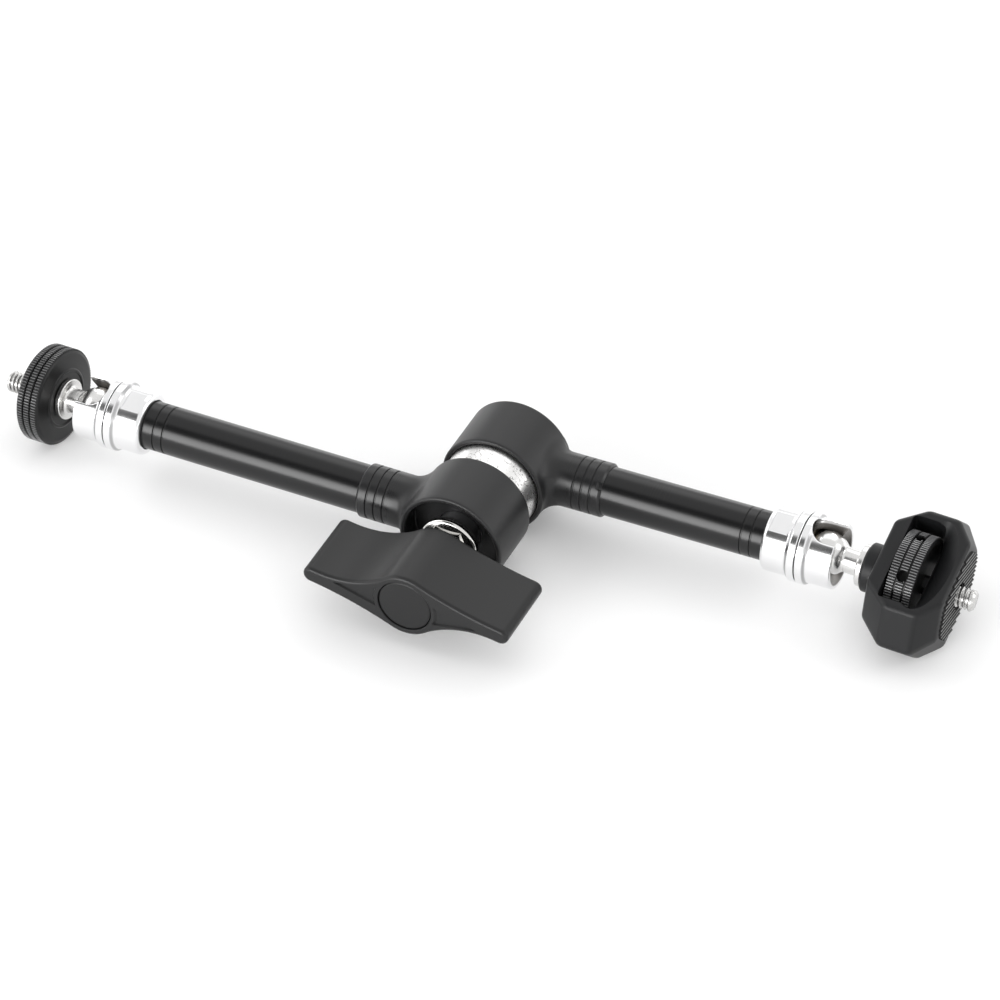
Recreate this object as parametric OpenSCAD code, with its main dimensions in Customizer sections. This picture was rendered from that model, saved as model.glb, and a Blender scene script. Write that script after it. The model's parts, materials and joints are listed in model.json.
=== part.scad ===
// Articulating friction arm. Two tubes meet at an elbow, and one wing knob locks the elbow
// and both ball ends through cones and push rods. Millimetres, +Z up, lying on its barrels.

/* [Arms] */
// Outer radius of the arm tubes
tube_r = 7; // [6.6:0.1:7.2]
// Wall of the arm tubes
tube_wall = 1.2; // [1:0.1:1.6]
// Elbow axis to the socket seam, arm on the knob's side
front_reach = 109.6; // [90:0.2:130]
// Elbow axis to the socket seam, other arm
rear_reach = 90.4; // [80:0.2:120]
// Distance between the two arm axes along the elbow
arm_gap = 27.6; // [27:0.2:32]
// Angle by which the rear arm rises from the table
rear_lift = 0.8; // [0:0.1:1.6]

/* [Elbow barrels] */
// Outer radius of a barrel
barrel_r = 15.5; // [15:0.1:17]
// Wall around the barrel's front recess
recess_wall = 1.6; // [1.4:0.1:2.2]
// Arm axis to the barrel's front rim
barrel_front = 11.3; // [10.6:0.1:12.5]
// Arm axis to the barrel's rear face
barrel_rear = 8.4; // [8:0.1:9.4]
// Arm axis to the floor of the front recess
recess_floor = 4.6; // [4.2:0.1:5.4]
// Outer radius of the arm stub on a barrel
stub_r = 7.8; // [7.7:0.1:8.2]
// Elbow axis to the end of the stub
stub_l = 31; // [28:0.2:34]
// Radius of the fillet from stub to barrel
stub_fillet = 6; // [3:0.5:8]
// Radial gap between friction ring and recess
ring_gap = 0.1; // [0.05:0.01:0.2]
// Wall of the friction ring
ring_wall = 2.9; // [2.2:0.1:3.4]

/* [Clamp] */
// Radius of the tie bolt
bolt_r = 4; // [3.5:0.1:4.2]
// Radius of the bore for the cones
cone_bore_r = 6.5; // [6.3:0.1:7]
// Half angle of the two cones
cone_angle = 20; // [15:1:24]
// Cone radius under the push rod
cone_mid_r = 5.3; // [5.2:0.05:5.4]
// Radius of the push rods
rod_r = 2.5; // [2:0.1:2.5]
// Largest radius of the flange nut
nut_flange_r = 8.6; // [8:0.1:9.5]
// Width of the nut across its flats
nut_flats = 13; // [12:0.2:14]

/* [Knob] */
// Half the knob's width over its wing tips
knob_half_w = 30.9; // [27:0.2:34]
// Depth of the knob along the elbow axis
knob_depth = 23.6; // [20:0.2:27]
// Elbow axis plane of the front arm to the back of the knob
knob_back = 16.6; // [15.6:0.1:18]
// Radius of the knob's hub
knob_hub_r = 9.9; // [9.6:0.1:11]
// Radius of a wing tip
knob_tip_r = 2.4; // [2.2:0.1:3]
// Radius that rounds the knob's edges
knob_edge = 1.1; // [0.8:0.1:1.4]
// Angle at which the knob stands, clockwise from level
knob_turn = 2.4; // [0:0.1:10]
// Radius of the round cap
cap_r = 8; // [7.4:0.1:8.4]

/* [Ball ends] */
// Radius of the balls
ball_r = 6.3; // [6.1:0.1:6.5]
// Outer radius of the ball cup
cup_r = 9.3; // [9.2:0.1:9.8]
// Length of the ball cup
cup_l = 10.2; // [9.8:0.1:11.5]
// Length of the socket adapter
adapter_l = 10.8; // [10.4:0.1:13]
// Radius of the two ridges at the seam
ridge_r = 10.2; // [10:0.05:10.3]
// Half the width of the slot in a cup
slot_half = 4.8; // [4.6:0.05:5]
// Radius of the ball studs' stems
stem_r = 3.6; // [3.2:0.1:3.7]
// Radius of the studs' flanges
flange_r = 6; // [5.6:0.1:6.2]
// Ball centre to the near face of the flange
flange_z = 10; // [9.9:0.1:11]
// Angle of the front arm's slot, from the front up
front_slot = 77; // [70:1:88]
// Angle of the rear arm's slot, from the front up
rear_slot = 88; // [76:1:92]
// Angle of the front arm's wrench flats
front_flat = 77; // [60:1:90]
// Angle of the rear arm's wrench flats
rear_flat = 150; // [140:1:165]
// Angle by which the thumb-wheel end points to the rear
front_yaw = 5; // [0:0.5:6]

/* [Thumb wheels] */
// Radius of the thumb wheel on the screw
wheel_r = 14.3; // [13:0.1:14.8]
// Radius of the wheel in the mount block
mount_wheel_r = 13.7; // [13:0.1:13.8]
// Number of teeth on a knurled band
knurl_teeth = 96; // [60:4:120]
// Depth of the knurled teeth
knurl_depth = 0.3; // [0.2:0.05:0.4]
// Radius of the mounting screws
screw_r = 3.175; // [3:0.025:3.2]
// Length of the screw beyond the thumb wheel
screw_out = 10.9; // [9:0.1:12]

/* [Mount block] */
// Half the thickness of the block
block_half_t = 11.2; // [10.8:0.1:11.6]
// Half the length of the window face
face_half_l = 16.4; // [16.2:0.1:17.2]
// Half the length at the block's belt
belt_half_l = 22.6; // [21:0.1:23.5]
// Ball centre to the block's inner face
block_near = 16; // [15.6:0.1:16.4]
// Ball centre to the block's outer face
block_far = 38.2; // [37.8:0.1:39.4]
// Half the length of the window
window_half_l = 13.9; // [13.9:0.05:14.2]
// Turn of the block about its stud
block_roll = 17.5; // [10:0.5:18]
// Length of the mount screw beyond the pad
mount_screw_out = 4.6; // [4.2:0.1:6]

/* [Hidden] */
$fn = 96;
front = -1;
rear = 1;
eps = 0.02;
run = 0.1; // radial clearance of a running fit
apart = 0.3; // gap between curved faces that move past each other
seam = 0.3; // gap between socket adapter and cup

// Barrels and ring
axis_h = barrel_r;
recess_r = barrel_r - recess_wall;
rim_round = recess_wall / 2;
barrel_edge = 0.8;
blind_l = 5; // bore depth behind the rear arm's axis
ring_r = recess_r - ring_gap;
ring_bore = ring_r - ring_wall;
spigot_r = ring_bore - run;
spigot_l = 3;
ring_from = barrel_rear + run;
ring_to = arm_gap - recess_floor - eps;

// Stub: the fillet's arc touches both the stub and the barrel
fillet_x = sqrt(pow(barrel_r + stub_fillet, 2) - pow(stub_r + stub_fillet, 2));
fillet_end = acos((stub_r + stub_fillet) / (barrel_r + stub_fillet));
tube_seat = barrel_r + 2;
groove_back = 3.2; // stub's end to its first groove
groove_pitch = 2.6;
stub_grooves = [for (i = [0:2]) stub_l - groove_back - i * groove_pitch];
groove_w = 0.5;
groove_d = 0.35;
tube_groove = 3.6; // adapter's end to the tube's first groove
tube_pitch = 2.9;
stub_chamfer = 0.6;
notch_w = 2.4;
notch_l = 1;

// Clamp: cones press the push rods outwards
cone_slope = tan(cone_angle);
cone_back = 2.5; // plane where the cone meets its sleeve
cone_small = 3;
sleeve_r = cone_bore_r - run;
collar_r = cone_bore_r - 0.9;
collar_l = 1;
bolt_bore = bolt_r + run;
rod_bore = rod_r + run;
rod_tip_x = cone_mid_r + (rod_r + apart) / cos(cone_angle);
clamp_travel = 0.9375;
nut_face = barrel_front - 0.4; // plane of the nut's flange, in front of the arm axis
washer_t = 1.4;
flange_t = 1;
washer_r = nut_flange_r - 0.6;
washer_back = nut_face - washer_t;
nut_in_knob = 5;
bolt_in_knob = 4.9;
spring_r = collar_r - 0.7;
spring_wire = 0.5;
spring_turns = 6;
spring_to = arm_gap - cone_small - collar_l - 2 * clamp_travel - apart;

// Knob outline: hub and wing tips, joined by arcs that touch both. Each wing is hollow below.
knob_tip = [knob_half_w - knob_tip_r, 0.5];
hollow_r = 27;
flank_r = 110;
hollow_c = bridge(knob_hub_r, knob_tip, knob_tip_r, hollow_r, -1);
flank_c = bridge(knob_hub_r, knob_tip, knob_tip_r, flank_r, 1);
edge_steps = 4;
cap_depth = 1.2;
cap_gap = 0.15;
panel_depth = 0.5;
panel_gap = 1;
panel_tip = 21.8;
panel_half = 3.2;
knob_front = knob_back + knob_depth;

// Ball ends
ball_out = cup_l - 4; // seam to the ball's centre
cup_bore = ball_r + run / 2;
lip_z = 2.5; // ball centre to the lip that holds the ball
lip_r = sqrt(pow(cup_bore, 2) - pow(lip_z, 2));
mouth_r = cup_r - 1.7;
slot_back = 0.6; // ball centre to the centre of the slot's round end
ridge_l = 2.2;
adapter_r = cup_r - 0.1;
flat_cut = 0.62;
flat_l = 6;
tube_in = 5.4; // depth of the tube in the adapter
spigot_in = 3.2; // depth of the cup's spigot in the adapter
neck_r = cup_bore + 1.5;
neck_bore = neck_r + run;
snap_t = 0.8;
snap_z = -1.9;
snap_in = neck_r - 0.5;
snap_out = neck_bore + 0.6;
seat_gap = 0.64;
seat_r = cup_bore - run / 2;
seat_from = spigot_in - 2 * run; // seam to the seat's inner face
seat_l = 5.2;
rod_end_in = 3.7; // seat's outer face to the end of the rod
flange_t_stud = 1.6;
boss_z = flange_z + flange_t_stud;

// Thumb wheel, measured from the ball centre
wheel_z = boss_z + 0.1;
wheel_rim = wheel_z + 0.9;
wheel_l = 7.8;
wheel_end = wheel_z + wheel_l;
band_groove = 0.5;
pad_t = 1.1;
pad_sink = 0.8;
pad_r = wheel_r - 1.9;
wheel_face = wheel_end - pad_sink + pad_t + eps;
screw_end = wheel_end + screw_out;
thread_chamfer = 0.5;
thread_gap = 0.1; // pad's face to the full thread
shank_r = screw_r - 0.4; // relieved behind the thread

// Mount block, measured from the ball centre along its stud
window_near = 20.4;
window_far = 29.9;
mount_wheel_near = window_near + 0.6;
mount_wheel_l = 7.6;
cavity_r = mount_wheel_r + 0.6;
boss_r = 7;
stud_spigot_r = 4.2;
stud_spigot_end = window_near - 1.2;
side_half_l = 10.2; // half the straight side of the window face
belt_side_half_l = 15.4;
near_corner = 7.6; // side to end flat, along the stud
far_corner = 5.4;
scoop_wall = 2.1;
hole_r = 1.65;
hole_depth = 5;
hole_turn = 28;
holes = 6;
rubber_t = 1.6;
rubber_sink = 1;
rubber_rib = 0.6;
rubber_inset = 1.7;
rib_pitch = 2.3;
mount_pad_face = block_far + rubber_t - rubber_sink + eps;
mount_screw_end = mount_pad_face + mount_screw_out;
dome_h = 1.2;

// Rest: wheel and block sink on their balls until they touch the table
function sink(height, along, radius) = asin(height / norm([along, radius])) - atan2(radius, along);
front_droop = sink(axis_h, wheel_end - thread_chamfer, wheel_r);
block_drop = face_half_l * sin(block_roll) + block_half_t * cos(block_roll);
rear_ball_h = axis_h + (rear_reach + ball_out) * sin(rear_lift);
rear_droop = sink(rear_ball_h, block_far - far_corner, block_drop);

// Whole part centred on its own box
front_cos = cos(front_droop) * cos(front_yaw);
span_left = front_reach + ball_out + screw_end * front_cos
    + (screw_r - thread_chamfer) * sqrt(1 - pow(front_cos, 2));
span_right = (rear_reach + ball_out) * cos(rear_lift) + (mount_screw_end - dome_h) * cos(rear_droop)
    + (screw_r - dome_h) * sin(rear_droop) + dome_h;
span_back = arm_gap + belt_half_l * cos(block_roll);
part_shift = [(span_left - span_right) / 2, (knob_front - span_back) / 2, 0];

black_metal = "#26272a";
black_tube = "#1d1e20";
bright_metal = "#d9dadc";
steel = "#b4b6b8";
rubber = "#202020";
brass = "#b99a4b";

function reach(side) = side == front ? front_reach : rear_reach;
function slot_turn(side) = side * (90 - (side == front ? front_slot : rear_slot));
function flat_turn(side) = side * (90 - (side == front ? front_flat : rear_flat));
function towards(a, b) = atan2(b.y - a.y, b.x - a.x);
function spun(points, angle) =
    [for (p = points) [p.x * cos(angle) - p.y * sin(angle), p.x * sin(angle) + p.y * cos(angle)]];
// Centre of an arc of radius r that touches a circle at 0,0 and one at b, on one side of both
function bridge(ra, b, rb, r, side) =
    let (to_a = ra + r, to_b = rb + r, d = norm(b))
    let (angle = atan2(b.y, b.x) + side * acos((to_a * to_a + d * d - to_b * to_b) / (2 * to_a * d)))
    to_a * [cos(angle), sin(angle)];
function arc(centre, r, from, to, steps = 8, open = 0) =
    [for (i = [0:steps - open]) centre + r * [cos(from + (to - from) * i / steps), sin(from + (to - from) * i / steps)]];

// Frames. An arm's X runs outwards from the elbow axis.
module elbow_frame() {
    translate(part_shift + [0, 0, axis_h]) rotate([-90, 0, 0]) children();
}

module arm_frame(side) {
    translate(part_shift + [0, side == front ? 0 : arm_gap, axis_h])
        rotate(side == front ? [0, 0, 180] : [0, -rear_lift, 0]) children();
}

// Along an arm: Z outwards, X up
module along_arm(side, x = 0) {
    arm_frame(side) translate([x, 0, 0]) rotate([0, 90, 0]) rotate([0, 0, 180]) children();
}

module seam_frame(side) {
    along_arm(side, reach(side)) children();
}

// On the ball: Z along the stud
module stud_frame(side) {
    droop = side == front ? front_droop : rear_droop + rear_lift;
    seam_frame(side) translate([0, 0, ball_out])
        rotate([side == front ? -front_yaw : 0, 0, 0]) rotate([0, -droop, 0]) children();
}

module block_frame() {
    stud_frame(rear) rotate([0, 0, block_roll]) children();
}

// Skin over rings of points, with a flat face at each end
module lofted(rings) {
    n = len(rings[0]);
    last = (len(rings) - 1) * n;
    polyhedron([for (ring = rings) each ring], concat(
        [[for (j = [0:n - 1]) j], [for (j = [n - 1:-1:0]) last + j]],
        [for (i = [0:len(rings) - 2], j = [0:n - 1]) let (p = i * n, k = (j + 1) % n) [p + j, p + n + j, p + n + k, p + k]]),
        convexity = 6);
}

module turned(points) {
    rotate_extrude() polygon(points);
}

module tube_of(outer, inner, length) {
    difference() {
        cylinder(r = outer, h = length);
        translate([0, 0, -1]) cylinder(r = inner, h = length + 2);
    }
}

// Elbow housings: a barrel with a stub for the arm tube
module barrel_solid() {
    turned(concat(
        [[0, -barrel_front]],
        arc([barrel_r - rim_round, rim_round - barrel_front], rim_round, -90, 0),
        arc([barrel_r - barrel_edge, barrel_rear - barrel_edge], barrel_edge, 0, 90),
        [[0, barrel_rear]]));
}

module recess_cut() {
    turned(concat(
        [[0, -recess_floor], [0, -barrel_front - 1], [recess_r + rim_round, -barrel_front - 1]],
        arc([recess_r + rim_round, rim_round - barrel_front], rim_round, 270, 180),
        [[recess_r, -recess_floor]]));
}

module stub_solid() {
    turned(concat(
        [[0, 0]],
        arc([stub_r + stub_fillet, fillet_x], stub_fillet, 180 + fillet_end, 180),
        [[stub_r, stub_l - stub_chamfer], [stub_r - stub_chamfer, stub_l], [0, stub_l]]));
}

module housing(side) {
    difference() {
        union() {
            elbow_frame() translate([0, 0, side == front ? 0 : arm_gap]) barrel_solid();
            intersection() {
                along_arm(side) stub_solid();
                arm_frame(side) translate([0, side * (barrel_rear - barrel_front) / 2, 0])
                    cube([4 * stub_l, barrel_rear + barrel_front - 2 * rim_round, 4 * stub_r], center = true);
            }
            if (side == front)
                elbow_frame() cylinder(r = spigot_r, h = barrel_rear + spigot_l);
        }
        elbow_frame() translate([0, 0, side == front ? 0 : arm_gap]) {
            recess_cut();
            translate([0, 0, -recess_floor - 1])
                cylinder(r = cone_bore_r, h = recess_floor + 1 + (side == front ? 2 * barrel_front : blind_l));
        }
        along_arm(side) {
            cylinder(r = rod_bore, h = stub_l);
            translate([0, 0, tube_seat]) cylinder(r = tube_r, h = stub_l);
            for (z = stub_grooves)
                translate([0, 0, z - groove_w / 2]) tube_of(stub_r + 1, stub_r - groove_d, groove_w);
        }
        if (side == rear)
            along_arm(side, stub_l) rotate([0, 0, 45])
                translate([stub_r, 0, 0]) cube([2, notch_w, 2 * notch_l], center = true);
    }
}

module front_housing() {
    color(black_metal) housing(front);
}

module rear_housing() {
    color(black_metal) housing(rear);
}

module friction_ring() {
    color(bright_metal) elbow_frame() translate([0, 0, ring_from])
        tube_of(ring_r, ring_bore, ring_to - ring_from);
}

// Arm tubes, with two fine grooves before the socket
module arm_tube(side) {
    length = reach(side) - adapter_l + tube_in - tube_seat - eps;
    end_z = reach(side) - adapter_l;
    difference() {
        along_arm(side, tube_seat + eps) tube_of(tube_r, tube_r - tube_wall, length);
        along_arm(side) for (i = [0, 1]) translate([0, 0, end_z - tube_groove - i * tube_pitch - groove_w / 2])
            tube_of(tube_r + 1, tube_r - groove_d, groove_w);
    }
}

module front_tube() {
    color(black_tube) arm_tube(front);
}

module rear_tube() {
    color(black_tube) arm_tube(rear);
}

// Socket adapter: holds the tube, carries the swivelling cup
module adapter(side) {
    corner = 1.5;
    face = -seam / 2;
    difference() {
        seam_frame(side) turned(concat(
            [[0, -adapter_l]],
            arc([adapter_r - corner, corner - adapter_l], corner, -90, 0),
            [[adapter_r, face - ridge_l - 0.9], [ridge_r, face - ridge_l + 0.2]],
            arc([ridge_r - 0.5, face - 0.5], 0.5, 0, 90, 4),
            [[0, face]]));
        seam_frame(side) {
            translate([0, 0, -adapter_l - 1]) cylinder(r = tube_r + eps, h = tube_in + 1);
            translate([0, 0, -adapter_l]) cylinder(r = rod_bore, h = adapter_l + 1);
            translate([0, 0, -spigot_in - run]) cylinder(r = neck_bore, h = spigot_in + 1);
            translate([0, 0, snap_z - snap_t / 2 - eps]) cylinder(r = snap_out + run, h = snap_t + 2 * eps);
            rotate([0, 0, flat_turn(side)]) for (s = [-1, 1])
                translate([s * (adapter_r - flat_cut + 2), 0, -adapter_l + 0.6 + flat_l / 2])
                    cube([4, 4 * tube_r, flat_l], center = true);
        }
    }
}

module front_adapter() {
    color(bright_metal) adapter(front);
}

module rear_adapter() {
    color(bright_metal) adapter(rear);
}

// Snap ring that keeps the cup in its adapter
module snap_ring(side) {
    seam_frame(side) translate([0, 0, snap_z - snap_t / 2]) difference() {
        tube_of(snap_out, snap_in + apart, snap_t);
        translate([snap_out, 0, snap_t / 2]) cube([2 * snap_out, 2, 2 * snap_t], center = true);
    }
}

module front_snap_ring() {
    color(steel) snap_ring(front);
}

module rear_snap_ring() {
    color(steel) snap_ring(rear);
}

// Slotted ball cup
module cup(side) {
    round_r = 0.6;
    face = seam / 2;
    difference() {
        seam_frame(side) turned(concat(
            [[0, -spigot_in], [neck_r, -spigot_in], [neck_r, face]],
            arc([ridge_r - 0.5, face + 0.5], 0.5, -90, 0, 4),
            [[ridge_r, face + ridge_l - 0.2], [cup_r, face + ridge_l + 0.7]],
            arc([cup_r - round_r, cup_l - round_r], round_r, 0, 90, 4),
            [[0, cup_l]]));
        seam_frame(side) {
            translate([0, 0, -spigot_in - 1]) cylinder(r = cup_bore, h = spigot_in + 1 + ball_out);
            translate([0, 0, ball_out]) {
                intersection() {
                    sphere(r = cup_bore);
                    cylinder(r = cup_bore + 1, h = lip_z);
                }
                turned([[0, lip_z - eps], [lip_r, lip_z - eps], [lip_r, lip_z],
                    [mouth_r, cup_l - ball_out + eps], [0, cup_l - ball_out + eps]]);
            }
            translate([0, 0, snap_z - snap_t / 2 - run])
                tube_of(neck_r + 1, snap_in, snap_t + 2 * run);
            rotate([0, 0, slot_turn(side)]) translate([0, 0, ball_out + slot_back]) {
                rotate([0, 90, 0]) cylinder(r = slot_half, h = 2 * cup_r);
                translate([0, -slot_half, 0]) cube([2 * cup_r, 2 * slot_half, cup_l]);
            }
        }
    }
}

module front_cup() {
    color(bright_metal) cup(front);
}

module rear_cup() {
    color(bright_metal) cup(rear);
}

// Push rod with a round tip on its cone, and the seat that presses on the ball
module push_rod(side) {
    tip_l = reach(side) - seat_from + seat_l - rod_end_in;
    along_arm(side) {
        translate([0, 0, rod_tip_x]) sphere(r = rod_r);
        translate([0, 0, rod_tip_x]) cylinder(r = rod_r, h = tip_l - rod_tip_x);
    }
}

module front_push_rod() {
    color(steel) push_rod(front);
}

module rear_push_rod() {
    color(steel) push_rod(rear);
}

module ball_seat(side) {
    rod_end = seat_l - rod_end_in;
    seam_frame(side) difference() {
        translate([0, 0, -seat_from]) cylinder(r = seat_r, h = seat_l);
        translate([0, 0, ball_out - seat_gap]) sphere(r = ball_r);
        translate([0, 0, -seat_from - 1]) cylinder(r = rod_r, h = rod_end + 1);
    }
}

module front_ball_seat() {
    color(brass) ball_seat(front);
}

module rear_ball_seat() {
    color(brass) ball_seat(rear);
}

// Ball studs: ball, stem and flange in one, then a screw or a spigot
module stud_body() {
    fillet = 1;
    sphere(r = ball_r);
    turned(concat(
        [[0, 0], [stem_r, 0]],
        arc([stem_r + fillet, flange_z - fillet], fillet, 180, 90, 4),
        arc([flange_r - 0.4, flange_z + 0.4], 0.4, -90, 0, 3),
        [[flange_r, boss_z - 0.3], [flange_r - 0.3, boss_z], [0, boss_z]]));
}

module front_ball_stud() {
    thread_from = wheel_face + thread_gap;
    color(steel) stud_frame(front) {
        stud_body();
        turned([[0, boss_z - 1], [shank_r, boss_z - 1], [shank_r, thread_from], [screw_r, thread_from],
            [screw_r, screw_end - thread_chamfer], [screw_r - thread_chamfer, screw_end], [0, screw_end]]);
    }
}

module rear_ball_stud() {
    ring_z = (boss_z + stud_spigot_end) / 2;
    color(steel) stud_frame(rear) difference() {
        union() {
            stud_body();
            translate([0, 0, boss_z - 1]) cylinder(r = stud_spigot_r, h = stud_spigot_end - boss_z + 1);
        }
        translate([0, 0, ring_z - snap_t / 2 - run]) tube_of(stud_spigot_r + 1, stud_spigot_r - 0.8, snap_t + 2 * run);
    }
}

module stud_ring() {
    ring_z = (boss_z + stud_spigot_end) / 2;
    color(steel) stud_frame(rear) translate([0, 0, ring_z - snap_t / 2]) difference() {
        tube_of(stud_spigot_r + 0.9, stud_spigot_r - 0.8 + apart, snap_t);
        translate([stud_spigot_r, 0, snap_t / 2]) cube([2 * stud_spigot_r, 2, 2 * snap_t], center = true);
    }
}

// Knurled thumb wheels
module knurled_band(r, length) {
    points = 2 * knurl_teeth; // a crest and a root for each tooth
    linear_extrude(height = length) polygon([
        for (i = [0:points - 1]) let (a = 360 * i / points) (r - knurl_depth * (i % 2)) * [cos(a), sin(a)]]);
}

// Three bands with two grooves between them, from z = 0
module knurled_rim(r, length) {
    band = (length - 2 * band_groove) / 3;
    core = r - knurl_depth - 0.5;
    for (i = [0:2]) translate([0, 0, i * (band + band_groove)]) knurled_band(r, band);
    translate([0, 0, band / 2]) cylinder(r = core, h = length - band);
}

module thumb_wheel() {
    hub_r = 8.6;
    rim = wheel_end - 0.5 - wheel_rim;
    root_r = wheel_r - knurl_depth - 0.1;
    color(black_metal) stud_frame(front) difference() {
        union() {
            translate([0, 0, wheel_rim]) knurled_rim(wheel_r, rim);
            turned([[0, wheel_z], [hub_r - 0.6, wheel_z], [hub_r - 0.6, wheel_z - 0.3], [hub_r, wheel_z - 0.3],
                [hub_r + 0.3, wheel_z], [root_r - 0.6, wheel_rim - 0.4], [root_r, wheel_rim - 0.1],
                [root_r, wheel_rim + 0.3], [0, wheel_rim + 0.3]]);
            turned([[0, wheel_end - 0.8], [root_r, wheel_end - 0.8], [root_r, wheel_end - 0.4],
                [root_r - 0.4, wheel_end], [0, wheel_end]]);
        }
        translate([0, 0, wheel_z - 1]) cylinder(r = screw_r + run, h = 2 * wheel_end);
        translate([0, 0, wheel_z - 1]) cylinder(r = flange_r + 0.5, h = 1);
        translate([0, 0, wheel_end - pad_sink]) cylinder(r = pad_r + apart, h = 2);
    }
}

module wheel_pad() {
    color(rubber) stud_frame(front) translate([0, 0, wheel_end - pad_sink + eps])
        tube_of(pad_r, screw_r + apart, pad_t);
}

module mount_wheel() {
    color(black_metal) block_frame() translate([0, 0, mount_wheel_near]) difference() {
        knurled_rim(mount_wheel_r, mount_wheel_l);
        translate([0, 0, -1]) cylinder(r = shank_r + eps, h = mount_wheel_l + 2);
        for (i = [0:holes - 1]) rotate([0, 0, i * 360 / holes + hole_turn])
            translate([mount_wheel_r - hole_depth, 0, mount_wheel_l / 2])
                rotate([0, 90, 0]) cylinder(r = hole_r, h = hole_depth + 1);
    }
}

module mount_screw() {
    thread_from = mount_pad_face + thread_gap;
    color(steel) block_frame() turned(concat(
        [[0, window_near + apart], [shank_r, window_near + apart], [shank_r, thread_from], [screw_r, thread_from]],
        arc([screw_r - dome_h, mount_screw_end - dome_h], dome_h, 0, 90, 5),
        [[0, mount_screw_end]]));
}

// Mount block: a long eight-sided body, widest at its belt, with a window for the wheel
module block_outline(side_half, end_half) {
    points = [[block_near, side_half], [block_near + near_corner, end_half],
        [block_far - far_corner, end_half], [block_far, side_half]];
    polygon(concat(points, [for (i = [3:-1:0]) [points[i][0], -points[i][1]]]));
}

module block_body() {
    layer = 0.01;
    rotate([0, -90, 0]) hull() {
        translate([0, 0, block_half_t - layer]) linear_extrude(layer) block_outline(side_half_l, face_half_l);
        translate([0, 0, -layer / 2]) linear_extrude(layer) block_outline(belt_side_half_l, belt_half_l);
        translate([0, 0, -block_half_t]) linear_extrude(layer) block_outline(side_half_l, face_half_l);
    }
}

module pad_outline(inset) {
    top = block_half_t - inset;
    belt = belt_side_half_l - inset;
    face = side_half_l - inset / 2;
    polygon([[0, belt], [top, face], [top, -face], [0, -belt], [-top, -face], [-top, face]]);
}

module mount_block() {
    scoop_r = norm([block_half_t, window_half_l - 0.6]);
    color(black_metal) block_frame() difference() {
        union() {
            block_body();
            turned([[0, boss_z + run], [boss_r - 0.5, boss_z + run], [boss_r, boss_z + run + 0.5],
                [boss_r, block_near + 1], [0, block_near + 1]]);
        }
        translate([-block_half_t - 1, -window_half_l, window_near])
            cube([2 * block_half_t + 2, 2 * window_half_l, window_far - window_near]);
        translate([0, 0, window_near]) cylinder(r = cavity_r, h = window_far - window_near);
        turned([[0, window_far - eps], [scoop_r, window_far - eps], [block_half_t - 0.4, block_far - scoop_wall],
            [0, window_far]]);
        translate([0, 0, boss_z]) cylinder(r = stud_spigot_r + run, h = stud_spigot_end + 0.3 - boss_z);
        translate([0, 0, (boss_z + stud_spigot_end) / 2 - snap_t / 2 - eps])
            cylinder(r = stud_spigot_r + 1, h = snap_t + 2 * eps);
        translate([0, 0, window_far - 1]) cylinder(r = screw_r + run, h = block_far);
        translate([0, 0, block_far - rubber_sink]) linear_extrude(2) pad_outline(rubber_inset);
    }
}

module mount_pad() {
    base = rubber_t - rubber_rib;
    ribs = 7;
    color(rubber) block_frame() translate([0, 0, block_far - rubber_sink + eps]) difference() {
        union() {
            linear_extrude(base) pad_outline(rubber_inset + 0.1);
            intersection() {
                linear_extrude(rubber_t) pad_outline(rubber_inset + 0.1);
                for (i = [-ribs:ribs])
                    rotate([0, 0, 30]) translate([-2 * block_half_t, i * rib_pitch - 0.75, 0])
                        cube([4 * block_half_t, 1.5, rubber_t]);
            }
        }
        translate([0, 0, -1]) cylinder(r = screw_r + apart, h = 4);
    }
}

// Clamp parts on the elbow axis
module thrust_washer() {
    color(steel) elbow_frame() translate([0, 0, -nut_face + eps]) tube_of(washer_r, bolt_bore, washer_t - 2 * eps);
}

module front_wedge() {
    big_r = cone_mid_r + cone_back * cone_slope;
    small_r = cone_mid_r - cone_small * cone_slope;
    color(steel) elbow_frame() difference() {
        turned([[0, -washer_back], [sleeve_r, -washer_back], [sleeve_r, -cone_back - 0.4], [big_r, -cone_back],
            [small_r, cone_small], [collar_r, cone_small], [collar_r, cone_small + collar_l], [0, cone_small + collar_l]]);
        translate([0, 0, -barrel_front]) cylinder(r = bolt_bore, h = 2 * barrel_front);
    }
}

module rear_wedge() {
    big_r = cone_mid_r + cone_back * cone_slope;
    small_r = cone_mid_r - cone_small * cone_slope;
    color(steel) elbow_frame() translate([0, 0, arm_gap]) difference() {
        turned([[0, -cone_small - collar_l], [collar_r, -cone_small - collar_l], [collar_r, -cone_small],
            [small_r, -cone_small], [big_r, cone_back], [big_r, cone_back + 1], [0, cone_back + 1]]);
        translate([0, 0, -barrel_front]) cylinder(r = bolt_r, h = 2 * barrel_front);
    }
}

module tie_bolt() {
    color(steel) elbow_frame() translate([0, 0, -knob_back - bolt_in_knob])
        cylinder(r = bolt_r, h = knob_back + bolt_in_knob + arm_gap + cone_back + 1);
}

// Coil spring that parts the two cones when the knob is let go
module spreader_spring() {
    sides = 8;
    per_turn = 16;
    rings = per_turn * spring_turns;
    from = cone_small + collar_l + spring_wire;
    rise = spring_to - spring_wire - from;
    color(steel) elbow_frame() lofted([for (i = [0:rings])
        let (a = i * 360 / per_turn, z = from + rise * i / rings)
        [for (j = [0:sides - 1]) let (b = j * 360 / sides, q = spring_r + spring_wire * cos(b))
            [q * cos(a), q * sin(a), z + spring_wire * sin(b)]]]);
}

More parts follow.
